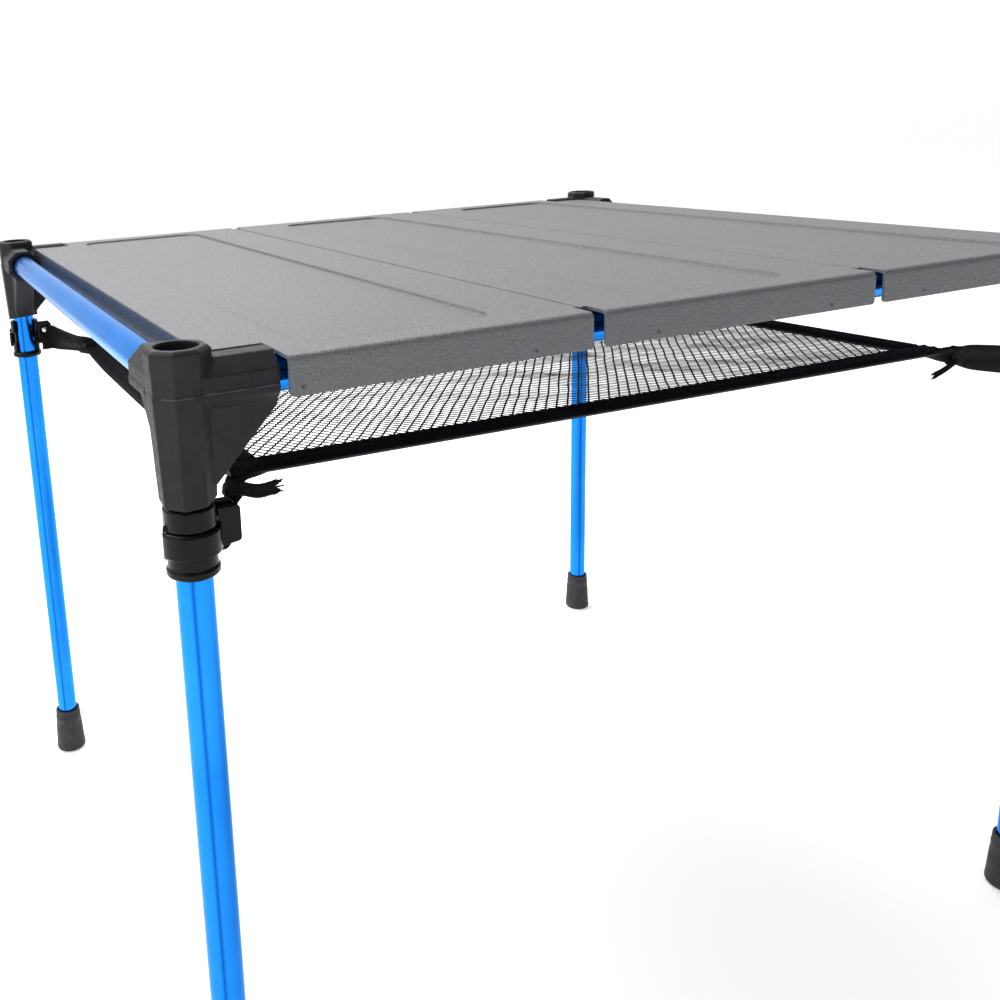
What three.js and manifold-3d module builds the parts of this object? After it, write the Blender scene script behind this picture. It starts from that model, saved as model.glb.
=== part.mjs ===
// Camp kitchen table: a tube frame on four clamped legs, three tray panels and a net shelf.
// Millimetres, +Z up. The origin is on the ground under the middle of the table, +X runs
// along the long side and +Y runs from front to back.
import * as THREE from 'three';
import { mergeVertices } from 'three/addons/utils/BufferGeometryUtils.js';
import Module from 'manifold-3d';

// ---- driving dimensions ----
const LEG_SPACING_X = 498; // between leg axes, left to right
const LEG_SPACING_Y = 420; // between leg axes, front to back
const TABLE_HEIGHT = 401; // panel top above the ground
const GAP = 0.3; // between pieces that touch

const TUBE_R = 7;
const TUBE_WALL = 1;

const PANEL_COUNT = 3;
const SHEET = 1.5; // panel sheet thickness
const SEAM = 1; // gap between two panels
const PANEL_TO_ARM_SIDE = 1.5; // panel side edge to the hub arm beside it
const TUBE_TO_LIP = 5.7; // long tube to the lip's inner face
const LIP_HEIGHT = 15;
const LIP_BEND_R = 2.6;
const RELIEF_WIDTH = 2.6; // the lip's ends stand back from the panel's side edges
const RELIEF_DEPTH = 18;
const FLANGE_HEIGHT = 9.8;
const FLANGE_CLEARANCE = 2.5; // flange end to the long tube, along Y
const FIELD_DEPTH = 0.9; // pressed field in the panel top
const FIELD_INSET_X = 37;
const FIELD_CORNER_R = 9;
const FIELD_STEP = 0.6; // width of the pressed step round the field

const HUB_RISE = 6; // hub top above the panel top
const HUB_DROP = 51.6; // hub bottom under the panel top
const HUB_SOCKET_WALL = 2.1; // at the bottom, round the leg
const HUB_FOOT_TILT = 11; // degrees; the socket's foot rises towards the table's middle
const HUB_FOOT_TURN = 25; // degrees from +Y to the direction in which it rises
const HUB_CHAMFER = 1.4;
const ARM_REACH = 34; // leg axis to the arm's mouth
const ARM_WALL = 2.7; // round a frame tube
const ARM_SOCKET_WALL = 2.5; // between the leg's socket and a tube's end
const PANEL_TO_ARM = 1.9; // panel corner cut-out round an arm
const WEB_THICKNESS = 12.4;
const WEB_TO_HUB_BOTTOM = 6.6; // where the web runs out into the socket
const WELL_R = 8;
const WELL_WALL = 3.3;
const WELL_DEPTH = 12;
const LEDGE = 2.6; // under the well; the leg cap stops against it
const LEDGE_HOLE_R = 4;

const CAP_RIM = 1.4;
const CAP_PLUG_LENGTH = 9;

const FOOT_HEIGHT = 34;
const FOOT_WALL = 1.8;
const FOOT_FLARE = 1.9;
const FOOT_SOLE = 4.5;

const COLLAR_HEIGHT = 26.4;
const COLLAR_UPPER_WALL = 2.4;
const COLLAR_UPPER_HEIGHT = 8.2;
const COLLAR_GROOVE_WALL = 1;
const COLLAR_GROOVE_HEIGHT = 7.4;
const COLLAR_LOWER_WALL = 2;
const COLLAR_RING_WALL = 2.7;
const COLLAR_RING_HEIGHT = 3.5;
const WINDOW_HALF_ANGLE = 58; // degrees each side of the inward direction
const BAND_CLEARANCE = 0.35; // lever band to the groove
const BAND_THICKNESS = 2.5;
const BAND_START = 190; // degrees round the leg, where the lever is hinged
const BAND_END = 368;
const WING_LENGTH = 8.3; // past the collar
const WING_THICKNESS = 3;
const WING_DROP = 3.6; // wing top under the collar top
const WING_ROOT_HEIGHT = 15;
const WING_TIP_HEIGHT = 12.8;
const WING_CORNER_R = 1.6;
const HINGE_BOSS_R = 1.3;
const HINGE_BOSS_HEIGHT = 3;
const HINGE_PIN_R = 0.6;
const HINGE_HOLE_R = 0.85;
const EAR_LENGTH = 7.8; // past the collar
const EAR_THICKNESS = 2;
const EAR_HEIGHT = 14;
const EAR_TO_WING = 1.2;
const RIVET_HEAD_R = 1.9;
const RIVET_HEAD = 0.9;
const RIVET_SHANK_R = 0.8;
const RIVET_OUT = 3.5; // past the collar
const RIVET_DROP = 7.7; // under the collar top

const SHELF_THICKNESS = 1.6;
const SHELF_SAG = 3;
const HEM_WIDTH = 16;
const HEM_THICKNESS = 2.4;
const STRAP_THICKNESS = 1.6;
const STRAP_WIDTH = 18;
const STRAP_DROP = 5.4; // strap top under the collar top
const STRAP_GATHER = 0.45; // share of its width that the strap loses at the shelf corner
const STRAP_OUT = 0.9; // strap end past the collar
const STRAP_RUN = 7.5; // flat against the ear before it turns
const STRAP_TO_HEM = 1.2;

// The shelf's corners, from the leg axis of each corner: inward along X, inward along Y
// and down from the panel top.
const SHELF_CORNERS = {
  front_left: [21, 14, 50],
  front_right: [83, 10, 54],
  back_left: [28, 70, 60],
  back_right: [88, 70, 60],
};

const CORNERS = {
  front_left: [1, 1],
  front_right: [-1, 1],
  back_left: [1, -1],
  back_right: [-1, -1],
};

// ---- values that follow ----
const TUBE_DROP = SHEET + GAP + TUBE_R; // frame tube axis under the panel top
const BORE_R = TUBE_R + GAP;
const ARM_WIDTH = 2 * (BORE_R + ARM_WALL);
const HUB_TOP_WIDTH = 2 * (WELL_R + WELL_WALL); // across flats
const HUB_BOTTOM_WIDTH = 2 * (BORE_R + HUB_SOCKET_WALL);
const WEB_FOOT = HUB_DROP - WEB_TO_HUB_BOTTOM; // under the panel top
const LEDGE_UNDER = HUB_RISE - WELL_DEPTH - LEDGE; // height of the ledge's underside
const CAP_TOP = LEDGE_UNDER - GAP;
const LEG_TOP = CAP_TOP - CAP_RIM - GAP;
const TUBE_START = BORE_R + ARM_SOCKET_WALL;
const FOOT_TOP_R = BORE_R + FOOT_WALL;
const FOOT_BOTTOM_R = FOOT_TOP_R + FOOT_FLARE;
const COLLAR_UPPER_R = BORE_R + COLLAR_UPPER_WALL;
const COLLAR_GROOVE_R = BORE_R + COLLAR_GROOVE_WALL;
const COLLAR_LOWER_R = BORE_R + COLLAR_LOWER_WALL;
const COLLAR_RING_R = BORE_R + COLLAR_RING_WALL;
const COLLAR_TOP = -HUB_DROP - GAP;
const GROOVE_TOP = COLLAR_TOP - COLLAR_UPPER_HEIGHT;
const GROOVE_BOTTOM = GROOVE_TOP - COLLAR_GROOVE_HEIGHT;
const COLLAR_BOTTOM = COLLAR_TOP - COLLAR_HEIGHT;
const BAND_INNER_R = COLLAR_GROOVE_R + BAND_CLEARANCE;
const BAND_MID_R = BAND_INNER_R + BAND_THICKNESS / 2;
const EAR_SIDE = WING_THICKNESS / 2 + EAR_TO_WING; // ear face nearest to the wing
const WING_REACH = COLLAR_UPPER_R + WING_LENGTH; // from the leg axis
const EAR_REACH = COLLAR_UPPER_R + EAR_LENGTH;
const RIVET_FROM_AXIS = COLLAR_UPPER_R + RIVET_OUT;
const STRAP_START = COLLAR_UPPER_R + STRAP_OUT;
const PANEL_INSET = ARM_WIDTH / 2 + PANEL_TO_ARM_SIDE; // leg axis to the nearest panel edge
const LIP_REACH = TUBE_R + TUBE_TO_LIP + SHEET; // leg axis to the outer face of the lip
// The field's underside starts where the long tube has curved away from it.
const FIELD_TO_TUBE = Math.sqrt(2 * TUBE_R * FIELD_DEPTH - FIELD_DEPTH ** 2) + FIELD_STEP;
const FIELD_INSET_Y = LIP_REACH + FIELD_TO_TUBE;
const OVERSIZE = 5; // cutters run past the face they cut
const SEGMENTS = 24;

const rad = THREE.MathUtils.degToRad;

// ---- materials ----
const FINISHES = {
  powder_coat: { color: '#6f7173', roughness: 0.55, metalness: 0.2 },
  anodised: { color: '#1d6fd8', roughness: 0.22, metalness: 0.85 },
  hub_nylon: { color: '#2b2b2e', roughness: 0.6, metalness: 0 },
  clamp_plastic: { color: '#17171a', roughness: 0.38, metalness: 0 },
  rubber: { color: '#1c1c1d', roughness: 0.8, metalness: 0 },
  steel: { color: '#c9ccd0', roughness: 0.28, metalness: 1 },
  netting: { color: '#111113', roughness: 0.9, metalness: 0 },
  webbing: { color: '#0d0d0e', roughness: 0.85, metalness: 0 },
};
const materials = Object.fromEntries(
  Object.entries(FINISHES).map(([name, look]) => [name, new THREE.MeshStandardMaterial(look)]),
);

// ---- solids ----
const wasm = await Module();
wasm.setup();

function toSolid(geometry) {
  const bare = geometry.clone();
  bare.deleteAttribute('normal');
  bare.deleteAttribute('uv');
  const merged = mergeVertices(bare, 1e-4);
  return new wasm.Manifold(new wasm.Mesh({
    numProp: 3,
    vertProperties: new Float32Array(merged.attributes.position.array),
    triVerts: new Uint32Array(merged.index.array),
  }));
}

function toGeometry(solid) {
  const mesh = solid.getMesh();
  const geometry = new THREE.BufferGeometry();
  geometry.setAttribute('position', new THREE.BufferAttribute(mesh.vertProperties, mesh.numProp));
  geometry.setIndex(new THREE.BufferAttribute(mesh.triVerts, 1));
  return geometry;
}

function joined(...geometries) {
  return geometries.map(toSolid).reduce((whole, next) => whole.add(next));
}

function cut(solid, ...geometries) {
  return geometries.map(toSolid).reduce((left, next) => left.subtract(next), solid);
}

// A box between two corners.
function block(low, high) {
  const size = high.map((value, axis) => value - low[axis]);
  const middle = high.map((value, axis) => (value + low[axis]) / 2);
  return new THREE.BoxGeometry(...size).translate(...middle);
}

// A round bar along Z.
function bar(radius, bottom, top, x = 0, y = 0, segments = SEGMENTS) {
  const geometry = new THREE.CylinderGeometry(radius, radius, top - bottom, segments);
  return geometry.rotateX(Math.PI / 2).translate(x, y, (top + bottom) / 2);
}

// A turned piece: radius and height pairs, closed on themselves.
function turned(profile, segments = SEGMENTS) {
  const points = profile.map(([radius, height]) => new THREE.Vector2(radius, height));
  points.push(points[0].clone());
  return new THREE.LatheGeometry(points, segments).rotateX(Math.PI / 2);
}

function outlineShape(points) {
  return new THREE.Shape(points.map(([x, y]) => new THREE.Vector2(x, y)));
}

// A flat outline raised between two heights.
function slab(outline, bottom, top) {
  const options = { depth: top - bottom, bevelEnabled: false, curveSegments: 6 };
  return new THREE.ExtrudeGeometry(outline, options).translate(0, 0, bottom);
}

// An outline in X and Z with a thickness along Y, centred on y.
function upright(outline, thickness, y = 0) {
  return slab(outline, -thickness / 2, thickness / 2).rotateX(Math.PI / 2).translate(0, y, 0);
}

function roundedRectangle(left, right, front, back, radius) {
  const shape = new THREE.Shape();
  shape.moveTo(left + radius, front);
  shape.lineTo(right - radius, front);
  shape.absarc(right - radius, front + radius, radius, -Math.PI / 2, 0);
  shape.lineTo(right, back - radius);
  shape.absarc(right - radius, back - radius, radius, 0, Math.PI / 2);
  shape.lineTo(left + radius, back);
  shape.absarc(left + radius, back - radius, radius, Math.PI / 2, Math.PI);
  shape.lineTo(left, front + radius);
  shape.absarc(left + radius, front + radius, radius, Math.PI, 1.5 * Math.PI);
  return shape;
}

// Everything at a corner is drawn once: the leg axis is at x = y = 0, the table lies
// towards +X and +Y, and heights count from the panel top.

// An eight-sided bar along Z, flats facing X and Y, with its own width at each end.
function octagonBar(bottomWidth, topWidth, bottom, top) {
  const toCorner = 0.5 / Math.cos(Math.PI / 8);
  const geometry = new THREE.CylinderGeometry(
    topWidth * toCorner, bottomWidth * toCorner, top - bottom, 8,
  );
  return geometry.rotateY(Math.PI / 8).rotateX(Math.PI / 2).translate(0, 0, (top + bottom) / 2);
}

// One arm along X: the eight-sided sleeve, with the flat web that runs from it down to the
// foot of the socket.
function hubArm() {
  const sleeve = octagonBar(ARM_WIDTH, ARM_WIDTH, 0, ARM_REACH)
    .rotateY(Math.PI / 2).translate(0, 0, -TUBE_DROP);
  const under = -TUBE_DROP - ARM_WIDTH / 2;
  const socketSide = HUB_BOTTOM_WIDTH / 2;
  const web = outlineShape([
    [0, -TUBE_DROP], [ARM_REACH, -TUBE_DROP], [ARM_REACH, under],
    [socketSide, -WEB_FOOT], [0, -WEB_FOOT],
  ]);
  return [sleeve, upright(web, WEB_THICKNESS)];
}

function hubGeometry() {
  const chamferStart = HUB_RISE - HUB_CHAMFER;
  const body = octagonBar(HUB_BOTTOM_WIDTH, HUB_TOP_WIDTH, -HUB_DROP, chamferStart);
  const rim = octagonBar(HUB_TOP_WIDTH, HUB_TOP_WIDTH - 2 * HUB_CHAMFER, chamferStart, HUB_RISE);
  const armX = hubArm();
  const armY = hubArm().map((piece) => piece.scale(1, -1, 1).rotateZ(Math.PI / 2));
  const mirrored = armY.map((piece) => flipFaces(piece));
  const whole = joined(body, rim, ...armX, ...mirrored);
  const tubeBore = () => bar(BORE_R, TUBE_START - GAP, ARM_REACH + OVERSIZE);
  // The socket's foot is cut on a slant, so its inner side stands clear of the collar.
  const lowest = HUB_BOTTOM_WIDTH / 2;
  const slant = block([-60, -60, -40], [60, 60, 0])
    .translate(0, lowest, 0).rotateX(rad(HUB_FOOT_TILT)).translate(0, -lowest, -HUB_DROP)
    .rotateZ(-rad(HUB_FOOT_TURN));
  return toGeometry(cut(
    whole,
    bar(WELL_R, HUB_RISE - WELL_DEPTH, HUB_RISE + OVERSIZE),
    bar(LEDGE_HOLE_R, LEDGE_UNDER - OVERSIZE, HUB_RISE),
    bar(BORE_R, -HUB_DROP - OVERSIZE, LEDGE_UNDER),
    tubeBore().rotateY(Math.PI / 2).translate(0, 0, -TUBE_DROP),
    tubeBore().rotateX(-Math.PI / 2).translate(0, 0, -TUBE_DROP),
    slant,
  ));
}

// Turns the faces of a mirrored geometry outwards again.
function flipFaces(geometry) {
  const flat = geometry.index ? geometry.toNonIndexed() : geometry;
  const position = flat.attributes.position;
  for (let first = 0; first < position.count; first += 3) {
    const a = new THREE.Vector3().fromBufferAttribute(position, first);
    const b = new THREE.Vector3().fromBufferAttribute(position, first + 1);
    position.setXYZ(first, b.x, b.y, b.z);
    position.setXYZ(first + 1, a.x, a.y, a.z);
  }
  return flat;
}

function pipe(length) {
  const inner = TUBE_R - TUBE_WALL;
  return turned([[inner, 0], [TUBE_R, 0], [TUBE_R, length], [inner, length]]);
}

// The leg reaches down into the foot, to the foot's sole.
function legGeometry() {
  const bottom = FOOT_SOLE + GAP - TABLE_HEIGHT;
  return pipe(LEG_TOP - bottom).translate(0, 0, bottom);
}

function legCapGeometry() {
  const plugR = TUBE_R - TUBE_WALL - GAP;
  const under = CAP_TOP - CAP_RIM;
  return turned([
    [0, under - CAP_PLUG_LENGTH], [plugR - 0.6, under - CAP_PLUG_LENGTH],
    [plugR, under - CAP_PLUG_LENGTH + 0.8], [plugR, under], [TUBE_R - 0.1, under],
    [TUBE_R - 0.1, CAP_TOP - 0.4], [TUBE_R - 0.5, CAP_TOP], [0, CAP_TOP],
  ], 16);
}

function footGeometry() {
  const ground = -TABLE_HEIGHT;
  const top = ground + FOOT_HEIGHT;
  return turned([
    [0, ground], [FOOT_BOTTOM_R - 1.8, ground], [FOOT_BOTTOM_R - 0.5, ground + 0.7],
    [FOOT_BOTTOM_R, ground + 2.2], [FOOT_BOTTOM_R - 0.4, ground + 6],
    [FOOT_TOP_R + 0.5, top - 12], [FOOT_TOP_R, top - 1], [FOOT_TOP_R - 0.6, top],
    [BORE_R, top], [BORE_R, ground + FOOT_SOLE], [0, ground + FOOT_SOLE],
  ]);
}

// Place of the lever's hinge axis.
const HINGE_X = BAND_MID_R * Math.cos(rad(BAND_START));
const HINGE_Y = BAND_MID_R * Math.sin(rad(BAND_START));

// Where the rivet goes through the ear.
const RIVET_HEIGHT = COLLAR_TOP - RIVET_DROP;

function rivetHole() {
  return bar(RIVET_SHANK_R + 0.1, -OVERSIZE, OVERSIZE, 0, 0, 16)
    .rotateX(Math.PI / 2).translate(RIVET_FROM_AXIS, EAR_SIDE + EAR_THICKNESS / 2, RIVET_HEIGHT);
}

function collarGeometry() {
  const ringTop = COLLAR_BOTTOM + COLLAR_RING_HEIGHT;
  const ring = turned([
    [BORE_R, COLLAR_BOTTOM], [COLLAR_RING_R - 0.8, COLLAR_BOTTOM],
    [COLLAR_RING_R, COLLAR_BOTTOM + 0.8], [COLLAR_RING_R, ringTop - 0.6],
    [COLLAR_LOWER_R, ringTop], [COLLAR_LOWER_R, GROOVE_BOTTOM],
    [COLLAR_GROOVE_R, GROOVE_BOTTOM], [COLLAR_GROOVE_R, GROOVE_TOP],
    [COLLAR_UPPER_R, GROOVE_TOP], [COLLAR_UPPER_R, COLLAR_TOP - 0.6],
    [COLLAR_UPPER_R - 0.6, COLLAR_TOP], [BORE_R, COLLAR_TOP],
  ]);
  const bossTop = GROOVE_TOP + HINGE_BOSS_HEIGHT;
  const bossBottom = GROOVE_BOTTOM - HINGE_BOSS_HEIGHT;
  const ear = block(
    [COLLAR_GROOVE_R - 0.2, EAR_SIDE, COLLAR_TOP - EAR_HEIGHT],
    [EAR_REACH, EAR_SIDE + EAR_THICKNESS, COLLAR_TOP - 0.3],
  );
  const whole = joined(
    ring,
    bar(HINGE_BOSS_R, GROOVE_TOP, bossTop, HINGE_X, HINGE_Y, 16),
    bar(HINGE_BOSS_R, bossBottom, GROOVE_BOTTOM, HINGE_X, HINGE_Y, 16),
    ear,
  );
  const opening = new THREE.Shape();
  const far = 2 * COLLAR_RING_R;
  const spread = far * Math.sin(rad(WINDOW_HALF_ANGLE));
  const height = far * Math.cos(rad(WINDOW_HALF_ANGLE));
  opening.moveTo(0, 0);
  opening.lineTo(spread, height);
  opening.lineTo(spread, far);
  opening.lineTo(-spread, far);
  opening.lineTo(-spread, height);
  // The lever's band passes the ear's foot, so the ear stands clear of the groove there.
  const bandPath = turned([
    [COLLAR_GROOVE_R, GROOVE_BOTTOM], [BAND_INNER_R + BAND_THICKNESS + 2 * GAP, GROOVE_BOTTOM],
    [BAND_INNER_R + BAND_THICKNESS + 2 * GAP, GROOVE_TOP], [COLLAR_GROOVE_R, GROOVE_TOP],
  ]);
  return toGeometry(cut(
    whole,
    slab(opening, ringTop, COLLAR_TOP + OVERSIZE),
    bandPath,
    bar(HINGE_HOLE_R, bossBottom - 1, bossTop + 1, HINGE_X, HINGE_Y, 12),
    rivetHole(),
    bar(BORE_R, COLLAR_BOTTOM - 1, COLLAR_TOP + 1),
  ));
}

// The lever: a band round the collar's outer side from its hinge to the thumb wing.
function leverGeometry() {
  const bottom = GROOVE_BOTTOM + GAP;
  const top = GROOVE_TOP - GAP;
  const outer = BAND_INNER_R + BAND_THICKNESS;
  const section = new THREE.Shape();
  section.absarc(0, 0, outer, rad(BAND_START), rad(BAND_END), false);
  section.absarc(0, 0, BAND_INNER_R, rad(BAND_END), rad(BAND_START), true);
  const band = new THREE.ExtrudeGeometry(section, {
    depth: top - bottom, bevelEnabled: false, curveSegments: 14,
  }).translate(0, 0, bottom);
  const knuckle = bar(BAND_THICKNESS / 2, bottom, top, HINGE_X, HINGE_Y, 16);
  const wingTop = COLLAR_TOP - WING_DROP;
  const rootX = COLLAR_UPPER_R + 2 * GAP;
  const wing = new THREE.Shape();
  wing.moveTo(rootX, wingTop);
  wing.lineTo(rootX, wingTop - WING_ROOT_HEIGHT);
  wing.lineTo(WING_REACH - WING_CORNER_R, wingTop - WING_TIP_HEIGHT - WING_CORNER_R * 0.6);
  wing.quadraticCurveTo(
    WING_REACH, wingTop - WING_TIP_HEIGHT, WING_REACH, wingTop - WING_TIP_HEIGHT + WING_CORNER_R,
  );
  wing.lineTo(WING_REACH, wingTop - WING_CORNER_R);
  wing.absarc(WING_REACH - WING_CORNER_R, wingTop - WING_CORNER_R, WING_CORNER_R, 0, Math.PI / 2);
  const whole = joined(band, knuckle, upright(wing, WING_THICKNESS));
  return toGeometry(cut(
    whole, bar(HINGE_HOLE_R, bottom - 1, top + 1, HINGE_X, HINGE_Y, 12),
  ));
}

function hingePinGeometry() {
  const bottom = GROOVE_BOTTOM - HINGE_BOSS_HEIGHT + GAP;
  const top = GROOVE_TOP + HINGE_BOSS_HEIGHT - GAP;
  return bar(HINGE_PIN_R, bottom, top, HINGE_X, HINGE_Y, 12);
}

// The rivet holds the strap end on the ear: its head lies on the strap.
function rivetGeometry() {
  const headSide = EAR_SIDE + EAR_THICKNESS + GAP + STRAP_THICKNESS + GAP;
  const shankSide = EAR_SIDE + GAP;
  return turned([
    [0, shankSide], [RIVET_SHANK_R, shankSide], [RIVET_SHANK_R, headSide],
    [RIVET_HEAD_R, headSide], [RIVET_HEAD_R * 0.75, headSide + RIVET_HEAD * 0.7],
    [0, headSide + RIVET_HEAD],
  ], 16).rotateX(-Math.PI / 2).translate(RIVET_FROM_AXIS, 0, RIVET_HEIGHT);
}

// ---- panels ----
const PITCH = (LEG_SPACING_X - 2 * PANEL_INSET + SEAM) / PANEL_COUNT;
const PANEL_WIDTH = PITCH - SEAM;
const HALF_DEPTH = LEG_SPACING_Y / 2 + LIP_REACH;

// The folded section in Y and Z, from the front lip over the top to the back lip.
function panelSection() {
  const bend = LIP_BEND_R;
  const inside = bend - SHEET;
  const wall = HALF_DEPTH - SHEET;
  const shape = new THREE.Shape();
  shape.moveTo(-HALF_DEPTH, -LIP_HEIGHT);
  shape.lineTo(-wall, -LIP_HEIGHT);
  shape.lineTo(-wall, -bend);
  shape.absarc(-wall + inside, -bend, inside, Math.PI, Math.PI / 2, true);
  shape.lineTo(wall - inside, -SHEET);
  shape.absarc(wall - inside, -bend, inside, Math.PI / 2, 0, true);
  shape.lineTo(wall, -LIP_HEIGHT);
  shape.lineTo(HALF_DEPTH, -LIP_HEIGHT);
  shape.lineTo(HALF_DEPTH, -bend);
  shape.absarc(HALF_DEPTH - bend, -bend, bend, 0, Math.PI / 2, false);
  shape.lineTo(-HALF_DEPTH + bend, 0);
  shape.absarc(-HALF_DEPTH + bend, -bend, bend, Math.PI / 2, Math.PI, false);
  return shape;
}

// A panel in its own frame: x from 0 to its width, y about the middle, z under its top.
// leftOuter and rightOuter say which side has the cut-outs for the hub arms.
function panelGeometry(leftOuter, rightOuter) {
  const tray = new THREE.ExtrudeGeometry(panelSection(), {
    depth: PANEL_WIDTH, bevelEnabled: false, curveSegments: 5,
  }).rotateY(Math.PI / 2).rotateX(Math.PI / 2);
  const flangeEnd = LEG_SPACING_Y / 2 - TUBE_R - FLANGE_CLEARANCE;
  const armEnd = LEG_SPACING_Y / 2 - ARM_WIDTH / 2 - PANEL_TO_ARM;
  const flange = (x, outer) => {
    const end = outer ? Math.min(flangeEnd, armEnd) : flangeEnd;
    return block([x, -end, -FLANGE_HEIGHT], [x + SHEET, end, -SHEET / 2]);
  };
  const field = roundedRectangle(
    FIELD_INSET_X, PANEL_WIDTH - FIELD_INSET_X,
    -HALF_DEPTH + FIELD_INSET_Y, HALF_DEPTH - FIELD_INSET_Y, FIELD_CORNER_R,
  );
  const fieldUnder = roundedRectangle(
    FIELD_INSET_X - FIELD_STEP, PANEL_WIDTH - FIELD_INSET_X + FIELD_STEP,
    -HALF_DEPTH + FIELD_INSET_Y - FIELD_STEP, HALF_DEPTH - FIELD_INSET_Y + FIELD_STEP,
    FIELD_CORNER_R + FIELD_STEP,
  );
  const whole = joined(
    tray,
    slab(fieldUnder, -SHEET - FIELD_DEPTH, -SHEET / 2),
    flange(0, leftOuter),
    flange(PANEL_WIDTH - SHEET, rightOuter),
  );
  // Cut-outs at a side's two ends, from the lip back to a distance from the middle.
  const endCuts = (rightSide, width, from) => [-1, 1].map((end) => {
    const edges = [end * from, end * (HALF_DEPTH + OVERSIZE)];
    return block(
      [rightSide ? PANEL_WIDTH - width : -OVERSIZE, Math.min(...edges), -LIP_HEIGHT - OVERSIZE],
      [rightSide ? PANEL_WIDTH + OVERSIZE : width, Math.max(...edges), OVERSIZE],
    );
  });
  const armCut = ARM_REACH + PANEL_TO_ARM - PANEL_INSET;
  const cuts = [
    ...endCuts(false, RELIEF_WIDTH, HALF_DEPTH - RELIEF_DEPTH),
    ...endCuts(true, RELIEF_WIDTH, HALF_DEPTH - RELIEF_DEPTH),
    ...(leftOuter ? endCuts(false, armCut, armEnd) : []),
    ...(rightOuter ? endCuts(true, armCut, armEnd) : []),
  ];
  return toGeometry(cut(whole, slab(field, -FIELD_DEPTH, OVERSIZE), ...cuts));
}

// ---- shelf ----
// A point of the shelf: u runs left to right, v front to back, both from 0 to 1.
function shelfPoint(u, v) {
  const place = (name) => {
    const [inX, inY, drop] = SHELF_CORNERS[name];
    const [sideX, sideY] = CORNERS[name];
    return new THREE.Vector3(
      sideX * (inX - LEG_SPACING_X / 2), sideY * (inY - LEG_SPACING_Y / 2), TABLE_HEIGHT - drop,
    );
  };
  const front = place('front_left').lerp(place('front_right'), u);
  const back = place('back_left').lerp(place('back_right'), u);
  const point = front.lerp(back, v);
  point.z -= SHELF_SAG * 16 * u * (1 - u) * v * (1 - v);
  return point;
}

const SHELF_LENGTH = shelfPoint(0, 0).distanceTo(shelfPoint(1, 0));
const SHELF_DEPTH = shelfPoint(0, 0).distanceTo(shelfPoint(0, 1));

// A piece of the shelf between two values of u and two of v, centred on the shelf's surface.
function shelfPiece(u0, u1, v0, v1, thickness, stepsU, stepsV) {
  const geometry = new THREE.BoxGeometry(u1 - u0, v1 - v0, thickness, stepsU, stepsV, 1)
    .translate((u0 + u1) / 2, (v0 + v1) / 2, 0);
  const position = geometry.attributes.position;
  for (let index = 0; index < position.count; index += 1) {
    const point = shelfPoint(position.getX(index), position.getY(index));
    position.setXYZ(index, point.x, point.y, point.z + position.getZ(index));
  }
  return toGeometry(toSolid(geometry));
}

// ---- straps ----
// A strap runs flat along the collar's ear and then out to the shelf's corner, on edge.
function strapGeometry(name) {
  const [inX, inY, drop] = SHELF_CORNERS[name];
  const half = STRAP_THICKNESS / 2;
  const side = EAR_SIDE + EAR_THICKNESS + GAP + half;
  const start = new THREE.Vector2(STRAP_START, side);
  const turn = new THREE.Vector2(STRAP_START + STRAP_RUN, side);
  const end = new THREE.Vector2(inX, inY);
  const way = end.clone().sub(turn).normalize();
  end.addScaledVector(way, -STRAP_TO_HEM - half);
  const across = new THREE.Vector2(-way.y, way.x).multiplyScalar(half);
  const miter = new THREE.Vector2(0, 1).add(across.clone().divideScalar(half)).normalize();
  miter.multiplyScalar(half / miter.y);
  const outline = [
    [start.x, start.y - half], [turn.x - miter.x, turn.y - miter.y],
    [end.x - across.x, end.y - across.y], [end.x + across.x, end.y + across.y],
    [turn.x + miter.x, turn.y + miter.y], [start.x, start.y + half],
  ];
  const geometry = slab(outlineShape(outline), -STRAP_WIDTH / 2, STRAP_WIDTH / 2);
  const startHeight = COLLAR_TOP - STRAP_DROP - STRAP_WIDTH / 2;
  const position = geometry.attributes.position;
  for (let index = 0; index < position.count; index += 1) {
    const along = THREE.MathUtils.clamp(
      new THREE.Vector2(position.getX(index), position.getY(index)).distanceTo(turn)
        / end.distanceTo(turn), 0, 1,
    );
    const past = position.getX(index) > turn.x + half ? along : 0;
    const height = position.getZ(index) * (1 - past * STRAP_GATHER);
    position.setZ(index, height + startHeight + past * (-drop - startHeight));
  }
  return toGeometry(cut(toSolid(geometry), rivetHole()));
}

// ---- assembly ----
const table = new THREE.Group();

function add(parent, name, geometry, finish) {
  const mesh = new THREE.Mesh(geometry, materials[finish]);
  mesh.name = name;
  parent.add(mesh);
  return mesh;
}

const cornerPieces = {
  hub: [hubGeometry(), 'hub_nylon'],
  leg: [legGeometry(), 'anodised'],
  leg_cap: [legCapGeometry(), 'clamp_plastic'],
  foot: [footGeometry(), 'rubber'],
  collar: [collarGeometry(), 'clamp_plastic'],
  lever: [leverGeometry(), 'clamp_plastic'],
  lever_pin: [hingePinGeometry(), 'steel'],
  strap_rivet: [rivetGeometry(), 'steel'],
};

for (const [corner, [sideX, sideY]] of Object.entries(CORNERS)) {
  const group = new THREE.Group();
  group.position.set(-sideX * LEG_SPACING_X / 2, -sideY * LEG_SPACING_Y / 2, TABLE_HEIGHT);
  group.scale.set(sideX, sideY, 1);
  for (const [piece, [geometry, finish]] of Object.entries(cornerPieces)) {
    add(group, `${piece}_${corner}`, geometry, finish);
  }
  add(group, `strap_${corner}`, strapGeometry(corner), 'webbing');
  table.add(group);
}

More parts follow.
